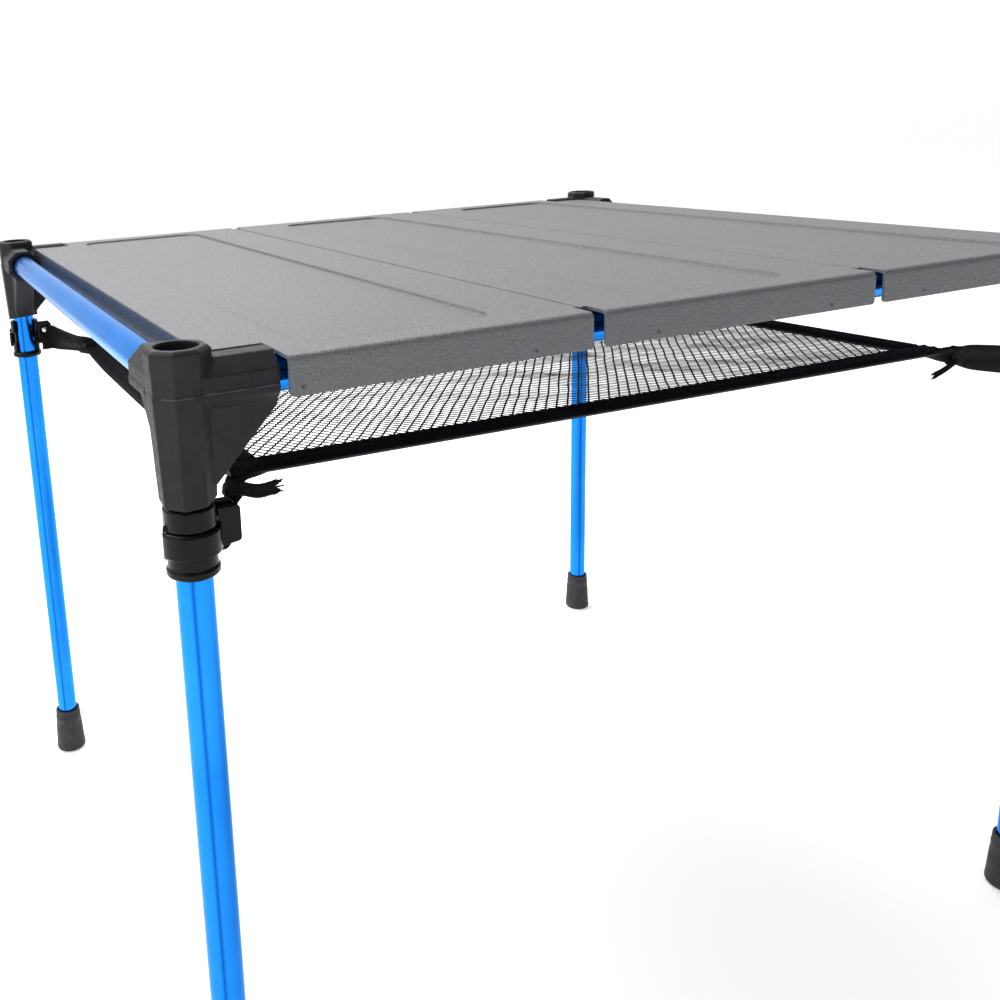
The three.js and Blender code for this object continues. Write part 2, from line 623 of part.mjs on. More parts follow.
for (const [name, side] of [['front', -1], ['back', 1]]) {
  const length = LEG_SPACING_X - 2 * TUBE_START;
  const tube = add(table, `tube_${name}`, pipe(length), 'anodised');
  tube.rotation.y = Math.PI / 2;
  tube.position.set(-length / 2, side * LEG_SPACING_Y / 2, TABLE_HEIGHT - TUBE_DROP);
}

for (const [name, side] of [['left', -1], ['right', 1]]) {
  const length = LEG_SPACING_Y - 2 * TUBE_START;
  const tube = add(table, `tube_${name}`, pipe(length), 'anodised');
  tube.rotation.x = -Math.PI / 2;
  tube.position.set(side * LEG_SPACING_X / 2, -length / 2, TABLE_HEIGHT - TUBE_DROP);
}

['left', 'middle', 'right'].forEach((name, index) => {
  const geometry = panelGeometry(index === 0, index === PANEL_COUNT - 1);
  const panel = add(table, `panel_${name}`, geometry, 'powder_coat');
  panel.position.set(-LEG_SPACING_X / 2 + PANEL_INSET + index * PITCH, 0, TABLE_HEIGHT);
});

const hemU = HEM_WIDTH / SHELF_LENGTH;
const hemV = HEM_WIDTH / SHELF_DEPTH;
const gapU = GAP / SHELF_LENGTH;
const gapV = GAP / SHELF_DEPTH;
const netU = hemU + gapU;
const netV = hemV + gapV;
const shelfPieces = {
  net: [netU, 1 - netU, netV, 1 - netV, SHELF_THICKNESS, 8, 6, 'netting'],
  hem_front: [0, 1, 0, hemV, HEM_THICKNESS, 6, 1, 'webbing'],
  hem_back: [0, 1, 1 - hemV, 1, HEM_THICKNESS, 6, 1, 'webbing'],
  hem_left: [0, hemU, netV, 1 - netV, HEM_THICKNESS, 1, 6, 'webbing'],
  hem_right: [1 - hemU, 1, netV, 1 - netV, HEM_THICKNESS, 1, 6, 'webbing'],
};
for (const [name, [...place]] of Object.entries(shelfPieces)) {
  const finish = place.pop();
  add(table, name, shelfPiece(...place), finish);
}

export default table;
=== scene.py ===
import math

import bmesh
import bpy
from mathutils import Matrix, Vector


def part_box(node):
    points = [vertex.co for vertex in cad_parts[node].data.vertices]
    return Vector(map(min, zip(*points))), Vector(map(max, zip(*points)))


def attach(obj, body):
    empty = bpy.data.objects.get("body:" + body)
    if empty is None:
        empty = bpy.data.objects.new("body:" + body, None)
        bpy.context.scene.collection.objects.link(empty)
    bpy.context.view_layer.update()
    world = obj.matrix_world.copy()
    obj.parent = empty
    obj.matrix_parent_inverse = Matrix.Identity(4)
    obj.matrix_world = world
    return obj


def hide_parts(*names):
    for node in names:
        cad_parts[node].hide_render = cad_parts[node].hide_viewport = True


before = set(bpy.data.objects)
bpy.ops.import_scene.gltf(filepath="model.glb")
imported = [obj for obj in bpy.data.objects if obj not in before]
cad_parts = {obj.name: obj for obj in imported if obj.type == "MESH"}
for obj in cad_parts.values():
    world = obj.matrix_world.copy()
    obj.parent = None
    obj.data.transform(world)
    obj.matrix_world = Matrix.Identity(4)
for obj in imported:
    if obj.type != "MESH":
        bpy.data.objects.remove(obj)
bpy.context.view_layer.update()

# ---------------------------------------------------------------------------------------
# Setting out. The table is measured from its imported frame: the leg axes, the tube size and
# the height of the panels. Sizes in this file are millimetres, made metres by MM.
MM = 0.001
CORNERS = {
    "front_left": (-1, -1),
    "front_right": (1, -1),
    "back_left": (-1, 1),
    "back_right": (1, 1),
}
near_leg_low, near_leg_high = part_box("leg_front_left")
near_leg = (near_leg_low + near_leg_high) / 2
HALF_X = -near_leg.x
HALF_Y = -near_leg.y
TABLE_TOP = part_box("panel_middle")[1].z
TUBE_R = (near_leg_high.x - near_leg_low.x) / 2


def corner_point(corner, inward_x, inward_y, drop):
    """A point given from a leg's axis, towards the table's middle, and down from the top."""
    side_x, side_y = CORNERS[corner]
    return Vector((
        side_x * (HALF_X - inward_x * MM),
        side_y * (HALF_Y - inward_y * MM),
        TABLE_TOP - drop * MM,
    ))


# ---------------------------------------------------------------------------------------
# Camera. It stands left of the near leg, a little above the panels, and looks across them.
EYE = Vector((near_leg.x - 89.0 * MM, near_leg.y - 333.2 * MM, TABLE_TOP + 78.8 * MM))
YAW, PITCH, ROLL = 0.39910, 0.22228, 0.04931

ahead = Vector((
    math.sin(YAW) * math.cos(PITCH), math.cos(YAW) * math.cos(PITCH), -math.sin(PITCH),
))
level_right = Vector((math.cos(YAW), -math.sin(YAW), 0.0))
level_down = ahead.cross(level_right)
right = level_right * math.cos(ROLL) + level_down * math.sin(ROLL)
down = level_down * math.cos(ROLL) - level_right * math.sin(ROLL)

camera_data = bpy.data.cameras.new("camera")
camera_data.sensor_width = 36.0
camera_data.lens = 36.45
camera_data.shift_x = 0.1859
camera_data.shift_y = -0.1491
camera = bpy.data.objects.new("camera", camera_data)
bpy.context.scene.collection.objects.link(camera)
camera.matrix_world = Matrix((
    (right.x, -down.x, -ahead.x, EYE.x),
    (right.y, -down.y, -ahead.y, EYE.y),
    (right.z, -down.z, -ahead.z, EYE.z),
    (0.0, 0.0, 0.0, 1.0),
))
bpy.context.scene.camera = camera

# ---------------------------------------------------------------------------------------
# Studio. A wide pale floor, a white surround that falls away behind the camera and to its
# right, a large soft light overhead and two softboxes that draw bright bands on the tubes.
FLOOR_REACH = 40
bpy.context.scene.view_settings.view_transform = "Standard"

floor_mesh = bpy.data.meshes.new("floor")
floor_mesh.from_pydata(
    [
        (-FLOOR_REACH, -FLOOR_REACH, 0), (FLOOR_REACH, -FLOOR_REACH, 0),
        (FLOOR_REACH, 2 * FLOOR_REACH, 0), (-FLOOR_REACH, 2 * FLOOR_REACH, 0),
    ],
    [], [(0, 1, 2, 3)],
)
floor = bpy.data.objects.new("floor", floor_mesh)
bpy.context.scene.collection.objects.link(floor)
pale = bpy.data.materials.new("pale_floor")
pale.use_nodes = True
paper = pale.node_tree.nodes["Principled BSDF"]
paper.inputs["Base Color"].default_value = (0.9, 0.9, 0.9, 1)
paper.inputs["Roughness"].default_value = 0.9
paper.inputs["Emission Color"].default_value = (1, 1, 1, 1)
paper.inputs["Emission Strength"].default_value = 0.36
floor_mesh.materials.append(pale)

world = bpy.data.worlds.new("studio")
bpy.context.scene.world = world
world.use_nodes = True
sky = world.node_tree
direction = sky.nodes.new("ShaderNodeTexCoord")
split = sky.nodes.new("ShaderNodeSeparateXYZ")
shade = sky.nodes.new("ShaderNodeMapRange")
shade.inputs["From Min"].default_value = -0.5
shade.inputs["From Max"].default_value = 0.2
shade.inputs["To Min"].default_value = 0.18
shade.inputs["To Max"].default_value = 1.05
sky.links.new(direction.outputs["Generated"], split.inputs["Vector"])
aside = sky.nodes.new("ShaderNodeMath")
aside.operation = "MULTIPLY_ADD"
aside.inputs[1].default_value = -0.35
sky.links.new(split.outputs["X"], aside.inputs[0])
sky.links.new(split.outputs["Y"], aside.inputs[2])
sky.links.new(aside.outputs["Value"], shade.inputs["Value"])
sky.links.new(shade.outputs["Result"], sky.nodes["Background"].inputs["Strength"])
sky.nodes["Background"].inputs["Color"].default_value = (0.99, 0.995, 1.0, 1)


def soft_light(name, place, target, size, watts):
    data = bpy.data.lights.new(name, "AREA")
    data.shape = "RECTANGLE"
    data.size, data.size_y = size
    data.energy = watts
    lamp = bpy.data.objects.new(name, data)
    bpy.context.scene.collection.objects.link(lamp)
    lamp.location = place
    lamp.rotation_euler = (Vector(target) - Vector(place)).to_track_quat("-Z", "Y").to_euler()


soft_light("overhead", (-0.4, 0.8, 1.9), (-0.1, 0.1, 0.4), (2.4, 1.8), 60)
soft_light("left_softbox", (-1.9, -0.65, 0.62), (-0.25, -0.2, 0.35), (1.5, 0.9), 8)
soft_light("front_softbox", (-0.05, -2.1, 0.66), (-0.2, -0.2, 0.4), (1.6, 0.8), 8)

# ---------------------------------------------------------------------------------------
# Frame tubes and legs. Drawn aluminium tube, anodised azure and sealed glossy, cut square
# with broken edges. Four tubes plug into the hubs; the legs pass up through the collars. The
# legs' finish holds a painted dark reflection, a darker line; the two constants below give its
# place and half width in degrees round the leg. It isn't a real mark on the tube.
TUBE_WALL = 1.0 * MM
TUBE_EDGE = 0.25 * MM
DARK_REFLECTION_TURN = -112.5
DARK_REFLECTION_HALF = 9.0


def blank_finish(name):
    """A new material with its shader and links ready to be given a surface."""
    finish = bpy.data.materials.new(name)
    finish.use_nodes = True
    return finish, finish.node_tree, finish.node_tree.nodes["Principled BSDF"]


def add_node(tree, kind, **values):
    node = tree.nodes.new(kind)
    for key, value in values.items():
        if key in node.inputs:
            node.inputs[key].default_value = value
        else:
            setattr(node, key, value)
    return node


def grain(tree, scale, detail=2.0, stretch=(1, 1, 1)):
    """Noise on the piece's own coordinates: returns its value socket."""
    place = add_node(tree, "ShaderNodeTexCoord")
    turn = add_node(tree, "ShaderNodeMapping")
    turn.inputs["Scale"].default_value = stretch
    noise = add_node(tree, "ShaderNodeTexNoise", Scale=scale, Detail=detail)
    tree.links.new(place.outputs["Object"], turn.inputs["Vector"])
    tree.links.new(turn.outputs["Vector"], noise.inputs["Vector"])
    return noise.outputs["Fac"]


def spread(tree, value, low, high, from_low=0.3, from_high=0.7):
    """Maps a noise value to a range."""
    node = add_node(tree, "ShaderNodeMapRange")
    node.inputs["From Min"].default_value = from_low
    node.inputs["From Max"].default_value = from_high
    node.inputs["To Min"].default_value = low
    node.inputs["To Max"].default_value = high
    tree.links.new(value, node.inputs["Value"])
    return node.outputs["Result"]


def mixed(tree, share, first, second, blend="MIX"):
    """Mixes two colours, each a socket or three numbers, and returns the colour socket."""
    node = add_node(tree, "ShaderNodeMix", data_type="RGBA", blend_type=blend)
    if isinstance(share, (int, float)):
        node.inputs["Factor"].default_value = share
    else:
        tree.links.new(share, node.inputs["Factor"])
    colours = [socket for socket in node.inputs if socket.type == "RGBA"]
    for socket, colour in zip(colours, (first, second)):
        if isinstance(colour, tuple):
            socket.default_value = (*colour, 1)
        else:
            tree.links.new(colour, socket)
    return next(socket for socket in node.outputs if socket.type == "RGBA")


def tint(tree, value, dark, light, from_low=0.3, from_high=0.7):
    """Mixes two colours by a noise value."""
    return mixed(tree, spread(tree, value, 0, 1, from_low, from_high), dark, light)


def marked(tree, name):
    """The value that a mesh carries under a name."""
    mark = add_node(tree, "ShaderNodeAttribute")
    mark.attribute_name = name
    return mark.outputs["Fac"]


def relief(tree, shader, height, distance, strength=1.0):
    """Bumps the shader's surface by a height value, over a distance in metres."""
    bump = add_node(tree, "ShaderNodeBump", Distance=distance, Strength=strength)
    tree.links.new(height, bump.inputs["Height"])
    tree.links.new(bump.outputs["Normal"], shader.inputs["Normal"])


def anodised_blue(along):
    """Anodised tube with faint draw lines along one axis, and a painted dark reflection where marked.
    """
    finish, tree, shader = blank_finish("anodised_blue_" + "xyz"[along])
    lengthwise = [1.0, 1.0, 1.0]
    lengthwise[along] = 0.012
    lines = grain(tree, 2600, 3, lengthwise)
    azure = tint(tree, grain(tree, 22, 2), (0.009, 0.185, 0.66), (0.014, 0.24, 0.78))
    # The marked line takes a deep blue: a painted dark reflection, not a mark on the metal.
    tree.links.new(
        mixed(tree, marked(tree, "dark_reflection"), azure, (0.003, 0.07, 0.34)), shader.inputs["Base Color"],
    )
    tree.links.new(spread(tree, lines, 0.13, 0.24), shader.inputs["Roughness"])
    shader.inputs["Metallic"].default_value = 1.0
    shader.inputs["Specular Tint"].default_value = (0.62, 0.80, 1.0, 1)
    shader.inputs["Coat Weight"].default_value = 0.03
    shader.inputs["Coat Roughness"].default_value = 0.06
    relief(tree, shader, lines, 0.00001, 0.35)
    return finish


def smooth_mesh(mesh, sharp_angle=38):
    """Shades a mesh smooth, with edges kept sharp past an angle in degrees."""
    mesh.polygons.foreach_set("use_smooth", [True] * len(mesh.polygons))
    mesh.set_sharp_from_angle(angle=math.radians(sharp_angle))
    mesh.update()


def turned_mesh(name, profile, steps=64, closed=True):
    """A mesh turned about Z from radius and height pairs. A closed profile is a ring's
    section; an open one starts and ends on the axis."""
    shape = bmesh.new()
    rings = []
    for radius, height in profile:
        if radius < 1e-9:
            rings.append([shape.verts.new((0, 0, height))])
            continue
        angles = [2 * math.pi * step / steps for step in range(steps)]
        rings.append([
            shape.verts.new((radius * math.cos(a), radius * math.sin(a), height)) for a in angles
        ])
    pairs = list(zip(rings, rings[1:]))
    if closed:
        pairs.append((rings[-1], rings[0]))
    for below, above in pairs:
        for step in range(steps):
            after = (step + 1) % steps
            corners = [below[step % len(below)], below[after % len(below)],
                       above[after % len(above)], above[step % len(above)]]
            corners = list(dict.fromkeys(corners))
            shape.faces.new(corners)
    bmesh.ops.recalc_face_normals(shape, faces=shape.faces)
    mesh = bpy.data.meshes.new(name)
    shape.to_mesh(mesh)
    shape.free()
    smooth_mesh(mesh)
    return mesh


def fit(name, mesh, finish, body, slot, *nodes):
    """Puts a finished mesh on the table with its material and body, and hides the nodes it stands for.
    The slot is not used.
    """
    piece = bpy.data.objects.new(name, mesh)
    bpy.context.scene.collection.objects.link(piece)
    mesh.materials.clear()
    mesh.materials.append(finish)
    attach(piece, body)
    if nodes:
        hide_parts(*nodes)
    return piece


def tube_profile(length):
    """A tube's wall in section, with broken edges at both ends."""
    edge, inner = TUBE_EDGE, TUBE_R - TUBE_WALL
    return [
        (inner + edge, 0), (TUBE_R - edge, 0), (TUBE_R, edge), (TUBE_R, length - edge),
        (TUBE_R - edge, length), (inner + edge, length), (inner, length - edge), (inner, edge),
    ]


def fit_tube(node, along, body):
    """A tube in the place of its node, along one axis."""
    low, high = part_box(node)
    start = (low + high) / 2
    start[along] = low[along]
    mesh = turned_mesh(node + "_drawn", tube_profile(high[along] - low[along]))
    # Mark for the painted dark reflection line; only the legs get a line, set by angle round the leg.
    dark_reflection = mesh.attributes.new("dark_reflection", "FLOAT", "POINT")
    if along == 2:
        for vertex in mesh.vertices:
            turn = math.degrees(math.atan2(vertex.co.y, vertex.co.x))
            dark_reflection.data[vertex.index].value = max(0.0, 1 - abs(turn - DARK_REFLECTION_TURN) / DARK_REFLECTION_HALF)
    laid = (
        Matrix.Rotation(math.pi / 2, 4, "Y"), Matrix.Rotation(-math.pi / 2, 4, "X"),
        Matrix.Identity(4),
    )
    mesh.transform(Matrix.Translation(start) @ laid[along])
    return fit(node + "_drawn", mesh, anodised[along], body, "anodised_blue", node)


anodised = [anodised_blue(axis) for axis in range(3)]
for side, along in (("front", 0), ("back", 0), ("left", 1), ("right", 1)):
    fit_tube(f"tube_{side}", along, "root")
for corner in CORNERS:
    fit_tube(f"leg_{corner}", 2, f"leg_{corner}")

# ---------------------------------------------------------------------------------------
# Corner hubs. Glass-filled nylon mouldings: an eight-sided socket with a top well, two
# sleeves for the frame tubes and a web under each, its foot cut on a slant. The lower shell
# stands a little proud along the parting line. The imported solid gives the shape; the
# moulding adds its radii.
PARTING_DROP = 10.5
PROUD = 0.4
BELT_DEPTH = 1.6
HUB_TAPER = 1.9
ARM_WALL = 3.0
FOOT_TILT, FOOT_TURN = math.radians(11), math.radians(25)
HUB_VOXEL = 0.42 * MM
parting = TABLE_TOP - PARTING_DROP * MM


def nylon():
    """Matt charcoal nylon with a fine mottle and paler scuffs, and a painted highlight along the
    parting line.
    """
    finish, tree, shader = blank_finish("charcoal_nylon")
    mottle = grain(tree, 420, 4)
    scuffs = grain(tree, 60, 5)
    charcoal = tint(tree, scuffs, (0.0065, 0.0065, 0.0085), (0.014, 0.014, 0.017), 0.35, 0.75)
    tree.links.new(spread(tree, mottle, 0.46, 0.62), shader.inputs["Roughness"])
    shader.inputs["Specular IOR Level"].default_value = 0.22
    # A paler band along the parting line, broken up by noise, is a painted highlight where the step
    # would catch the light.
    place = add_node(tree, "ShaderNodeTexCoord")
    height = add_node(tree, "ShaderNodeSeparateXYZ")
    tree.links.new(place.outputs["Object"], height.inputs["Vector"])
    above = add_node(tree, "ShaderNodeMath", operation="SUBTRACT")
    above.inputs[1].default_value = parting - 0.1 * MM
    tree.links.new(height.outputs["Z"], above.inputs[0])
    away = add_node(tree, "ShaderNodeMath", operation="ABSOLUTE")
    tree.links.new(above.outputs["Value"], away.inputs[0])
    parting_highlight = add_node(tree, "ShaderNodeMath", operation="MULTIPLY")
    tree.links.new(
        spread(tree, away.outputs["Value"], 0.8, 0.0, 0.0001, 0.00035), parting_highlight.inputs[0],
    )
    tree.links.new(spread(tree, grain(tree, 140, 3), 0.0, 1.0, 0.40, 0.55), parting_highlight.inputs[1])
    tree.links.new(
        mixed(tree, parting_highlight.outputs["Value"], charcoal, (0.060, 0.060, 0.066)),
        shader.inputs["Base Color"],
    )
    relief(tree, shader, grain(tree, 2400, 3), 0.00006, 0.55)
    return finish


def packed_shape(node):
    """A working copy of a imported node, with its loose triangles joined."""
    shape = bmesh.new()
    shape.from_mesh(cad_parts[node].data)
    bmesh.ops.remove_doubles(shape, verts=shape.verts, dist=1e-6)
    return shape


def moulded(name, shape, voxel, smoothing, keep):
    """Fuses the closed shapes into one skin with a moulding's small radii, then thins it."""
    mesh = bpy.data.meshes.new(name)
    shape.to_mesh(mesh)
    shape.free()
    work = bpy.data.objects.new(name + "_work", mesh)
    bpy.context.scene.collection.objects.link(work)
    fuse = work.modifiers.new("fuse", "REMESH")
    fuse.mode = "VOXEL"
    fuse.voxel_size = voxel
    ease = work.modifiers.new("ease", "SMOOTH")
    ease.factor = 0.5
    ease.iterations = smoothing
    thin = work.modifiers.new("thin", "DECIMATE")
    thin.ratio = keep
    bpy.context.view_layer.update()
    solid = bpy.data.meshes.new_from_object(
        work.evaluated_get(bpy.context.evaluated_depsgraph_get()),
    )
    solid.name = name
    bpy.data.objects.remove(work)
    smooth_mesh(solid, 50)
    return solid


def mirrored_to(mesh, corner, name):
    """A copy of a mesh drawn at the front left corner, mirrored to another corner."""
    side_x, side_y = CORNERS[corner]
    copy = mesh.copy()
    copy.name = name
    copy.transform(Matrix.Diagonal((-side_x, -side_y, 1, 1)))
    if side_x * side_y < 0:
        copy.flip_normals()
    return copy


def loft(shape, rings, closed):
    """Joins rings of points with faces: end to end when closed, or with a face at each end."""
    rows = [[shape.verts.new(point) for point in ring] for ring in rings]
    pairs = list(zip(rows, rows[1:])) + ([(rows[-1], rows[0])] if closed else [])
    count = len(rows[0])
    faces = []
    for this, after in pairs:
        for i in range(count):
            j = (i + 1) % count
            faces.append(shape.faces.new((this[i], this[j], after[j], after[i])))
    if not closed:
        faces += [shape.faces.new(rows[0]), shape.faces.new(rows[-1])]
    bmesh.ops.recalc_face_normals(shape, faces=faces)


hub_finish = nylon()
hub_shape = packed_shape("hub_front_left")
hub_low, hub_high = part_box("hub_front_left")
top_half = near_leg.x - hub_low.x
low_half = top_half - HUB_TAPER * MM
parting_half = top_half - HUB_TAPER * MM * (hub_high.z - parting) / (hub_high.z - hub_low.z)
socket_belt = []
for at_parting, inset in ((False, 0), (True, 0), (True, BELT_DEPTH), (False, BELT_DEPTH)):
    ring = []
    for i in range(8):
        half = parting_half if at_parting else low_half
        reach = (half + (PROUD - inset) * MM) / math.cos(math.pi / 8)
        x, y = reach * math.cos((i + 0.5) * math.pi / 4), reach * math.sin((i + 0.5) * math.pi / 4)
        rise = (x * math.sin(FOOT_TURN) + y * math.cos(FOOT_TURN) + low_half) * math.tan(FOOT_TILT)
        height = parting if at_parting else hub_low.z + max(rise, 0.0) + 0.05 * MM
        ring.append((near_leg.x + x, near_leg.y + y, height))
    socket_belt.append(ring)
loft(hub_shape, socket_belt, closed=True)

tube_low, tube_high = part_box("tube_left")
arm_axis = (tube_low.z + tube_high.z) / 2
arm_half = TUBE_R + ARM_WALL * MM
arm_belt = []
for half in (arm_half + PROUD * MM, arm_half - BELT_DEPTH * MM):
    flat_half = half * math.tan(math.pi / 8)
    side = [
        (-half, parting), (-half, arm_axis - flat_half), (-flat_half, arm_axis - half),
        (flat_half, arm_axis - half), (half, arm_axis - flat_half), (half, parting),
    ]
    arm_belt += side if half > arm_half else side[::-1]
arm_start, arm_end = 10.0 * MM, (hub_high.x - near_leg.x) - 0.1 * MM
loft(hub_shape, [
    [(near_leg.x + reach, near_leg.y + a, z) for a, z in arm_belt] for reach in (arm_start, arm_end)
], closed=False)
loft(hub_shape, [
    [(near_leg.x + a, near_leg.y + reach, z) for a, z in arm_belt] for reach in (arm_start, arm_end)
], closed=False)
hub_mesh = moulded("hub_moulding", hub_shape, HUB_VOXEL, 5, 0.28)
for corner in CORNERS:
    name = f"hub_{corner}_moulding"
    fit(name, mirrored_to(hub_mesh, corner, name), hub_finish, "root", "hub_nylon", f"hub_{corner}")

# ---------------------------------------------------------------------------------------
# Leg caps and feet. A plastic plug closes each leg's top and stops under the hub's ledge;
# a flared rubber boot with a rounded sole edge is pushed on the bottom.
FOOT_FLARE = 1.9
SOLE = 4.5 * MM
SOLE_ROUND = 2.4 * MM
MOUTH_ROUND = 0.8 * MM
LEG_BORE = TUBE_R + 0.3 * MM


def moulded_plastic():
    """Semi-gloss black plastic with a faint ripple and dust."""
    finish, tree, shader = blank_finish("clamp_plastic")
    dust = grain(tree, 180, 4)
    tree.links.new(
        tint(tree, dust, (0.0015, 0.0015, 0.0018), (0.004, 0.004, 0.0045), 0.35, 0.8),
        shader.inputs["Base Color"],
    )
    tree.links.new(spread(tree, grain(tree, 90, 3), 0.18, 0.30), shader.inputs["Roughness"])
    shader.inputs["Specular IOR Level"].default_value = 0.14
    relief(tree, shader, grain(tree, 1300, 2), 0.00003, 0.3)
    return finish


def rubber():
    """Matt rubber, a little greyer where it is handled."""
    finish, tree, shader = blank_finish("foot_rubber")
    tree.links.new(
        tint(tree, grain(tree, 120, 4), (0.006, 0.006, 0.007), (0.018, 0.018, 0.021)),
        shader.inputs["Base Color"],
    )
    tree.links.new(spread(tree, grain(tree, 300, 3), 0.55, 0.75), shader.inputs["Roughness"])
    relief(tree, shader, grain(tree, 1800, 3), 0.00006, 0.5)
    return finish


clamp_finish = moulded_plastic()
rubber_finish = rubber()


def rounded_corner(centre, radius, start, end, steps=5):
    """Points on an arc of a profile, angles in degrees."""
    angles = [math.radians(start + (end - start) * i / steps) for i in range(steps + 1)]
    return [
        (centre[0] + radius * math.cos(a), centre[1] + radius * math.sin(a)) for a in angles
    ]


foot_low, foot_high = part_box("foot_front_left")
FOOT_R = (foot_high.x - foot_low.x) / 2
FOOT_TOP_R = FOOT_R - FOOT_FLARE * MM
foot_height = foot_high.z - foot_low.z
bead = [
    (FOOT_TOP_R + 0.25 * MM + 0.3 * MM * math.sin(math.pi * t), foot_height - (7.5 - 2.0 * t) * MM)
    for t in (0.0, 0.25, 0.5, 0.75, 1.0)
]
foot_profile = (
    [(0, 0)]
    + rounded_corner((FOOT_R - SOLE_ROUND, SOLE_ROUND), SOLE_ROUND, -90, 8)
    + [(FOOT_R - 0.5 * MM, 9 * MM), (FOOT_TOP_R + 0.9 * MM, 20 * MM)]
    + bead
    + rounded_corner((FOOT_TOP_R - MOUTH_ROUND, foot_height - MOUTH_ROUND), MOUTH_ROUND, 0, 90)
    + [(LEG_BORE, foot_height - 0.3 * MM), (LEG_BORE, SOLE), (0, SOLE)]
)
foot_mesh = turned_mesh("foot", foot_profile, 72, closed=False)
for corner, (side_x, side_y) in CORNERS.items():
    boot = foot_mesh.copy()
    boot.transform(Matrix.Translation((side_x * HALF_X, side_y * HALF_Y, foot_low.z)))
    fit(f"foot_{corner}_boot", boot, rubber_finish, f"leg_{corner}", "rubber", f"foot_{corner}")
    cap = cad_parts[f"leg_cap_{corner}"]
    cap.data.materials.clear()
    cap.data.materials.append(clamp_finish)

# ---------------------------------------------------------------------------------------
# Leg collars and lock levers. Semi-gloss black mouldings. The collar is a C that is open
# towards the table's middle and closed by a ring at its foot; the lever's band wraps its
# outer side from a steel pin to a thumb wing.
WINDOW_HALF = 58
COLLAR_VOXEL = 0.24 * MM
PIN_ANGLE, BAND_END = 190, 368
UPPER_HEIGHT, GROOVE_HEIGHT, RING_HEIGHT = 8.2 * MM, 7.4 * MM, 3.5 * MM
CLEARANCE, BAND_THICKNESS = 0.35 * MM, 2.5 * MM
BOSS_HEIGHT, BOSS_R, BOSS_TIP_R = 2.6 * MM, 1.2 * MM, 0.7 * MM
EAR_FOOT_DROP, EAR_TOP_DROP, EAR_CORNER, EAR_THICKNESS = 14 * MM, 1.8 * MM, 1.2 * MM, 2 * MM
WING_HALF, WING_TIP_HEIGHT, WING_ROOT_HEIGHT, WING_ROUND = 1.5 * MM, 12.8 * MM, 15 * MM, 1.7 * MM
collar_low, collar_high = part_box("collar_front_left")
lever_low, lever_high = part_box("lever_front_left")
UPPER_R, GROOVE_R, LOWER_R, RING_R = (TUBE_R + wall * MM for wall in (2.7, 1.3, 2.3, 3.0))
BAND_IN, BAND_OUT = GROOVE_R + CLEARANCE, GROOVE_R + CLEARANCE + BAND_THICKNESS
collar_top = collar_high.z
groove_top = collar_top - UPPER_HEIGHT
groove_foot = groove_top - GROOVE_HEIGHT
ring_top = collar_low.z + RING_HEIGHT
pin_reach = (BAND_IN + BAND_OUT) / 2
pin_turn = math.radians(PIN_ANGLE)
pin_place = near_leg + Vector((pin_reach * math.cos(pin_turn), pin_reach * math.sin(pin_turn), 0))


def add_sector(shape, section, start, end, centre, steps):
    """Adds a closed piece of ring: a section of radius and height pairs, swept in degrees."""
    angles = [math.radians(start + (end - start) * i / steps) for i in range(steps + 1)]
    whole_turn = abs(end - start) >= 360
    rings = [
        [(centre.x + r * math.cos(a), centre.y + r * math.sin(a), z) for r, z in section]
        for a in angles
    ]
    loft(shape, rings[:-1] if whole_turn else rings, closed=whole_turn)


def add_plate(shape, outline, near_y, far_y):
    """Adds a closed upright plate: an outline in x and z, between two values of y."""
    loft(shape, [[(x, y, z) for x, z in outline] for y in (near_y, far_y)], closed=False)


def add_bar(shape, radius_low, radius_high, low, high, centre):
    """Adds an upright closed round bar, straight or tapered."""
    bmesh.ops.create_cone(
        shape, cap_ends=True, segments=24, radius1=radius_low, radius2=radius_high,
        depth=high - low, matrix=Matrix.Translation((centre.x, centre.y, (low + high) / 2)),
    )


collar_shape = bmesh.new()
add_sector(collar_shape, [
    (LEG_BORE, collar_low.z), (RING_R - 0.8 * MM, collar_low.z),
    (RING_R, collar_low.z + 0.8 * MM), (RING_R, ring_top - 0.7 * MM), (LOWER_R, ring_top + 0.2 * MM),
    (LEG_BORE, ring_top + 0.2 * MM),
], 0, 360, near_leg, 96)
add_sector(collar_shape, [
    (LEG_BORE, ring_top - 0.5 * MM), (LOWER_R, ring_top - 0.5 * MM), (LOWER_R, groove_foot),
    (GROOVE_R, groove_foot), (GROOVE_R, groove_top), (UPPER_R, groove_top),
    (UPPER_R, collar_top - 0.7 * MM), (UPPER_R - 0.7 * MM, collar_top), (LEG_BORE, collar_top),
], 90 + WINDOW_HALF, 450 - WINDOW_HALF, near_leg, 80)
add_bar(collar_shape, BOSS_R, BOSS_TIP_R, groove_top, groove_top + BOSS_HEIGHT, pin_place)
add_bar(collar_shape, BOSS_TIP_R, BOSS_R, groove_foot - BOSS_HEIGHT, groove_foot, pin_place)
ear_left, ear_right = near_leg.x + GROOVE_R + 0.8 * MM, collar_high.x
ear_near = near_leg.y + 2.7 * MM
ear_top, ear_foot = collar_top - EAR_TOP_DROP, collar_top - EAR_FOOT_DROP
ear_step = near_leg.x + BAND_OUT + 0.6 * MM
add_plate(
    collar_shape,
    [(ear_left, ear_top), (ear_right - EAR_CORNER, ear_top), (ear_right, ear_top - EAR_CORNER),
     (ear_right, ear_foot + EAR_CORNER), (ear_right - EAR_CORNER, ear_foot),
     (ear_step, ear_foot), (ear_step, groove_top), (ear_left, groove_top)],
    ear_near, ear_near + EAR_THICKNESS,
)
collar_mesh = moulded("collar_moulding", collar_shape, COLLAR_VOXEL, 5, 0.35)

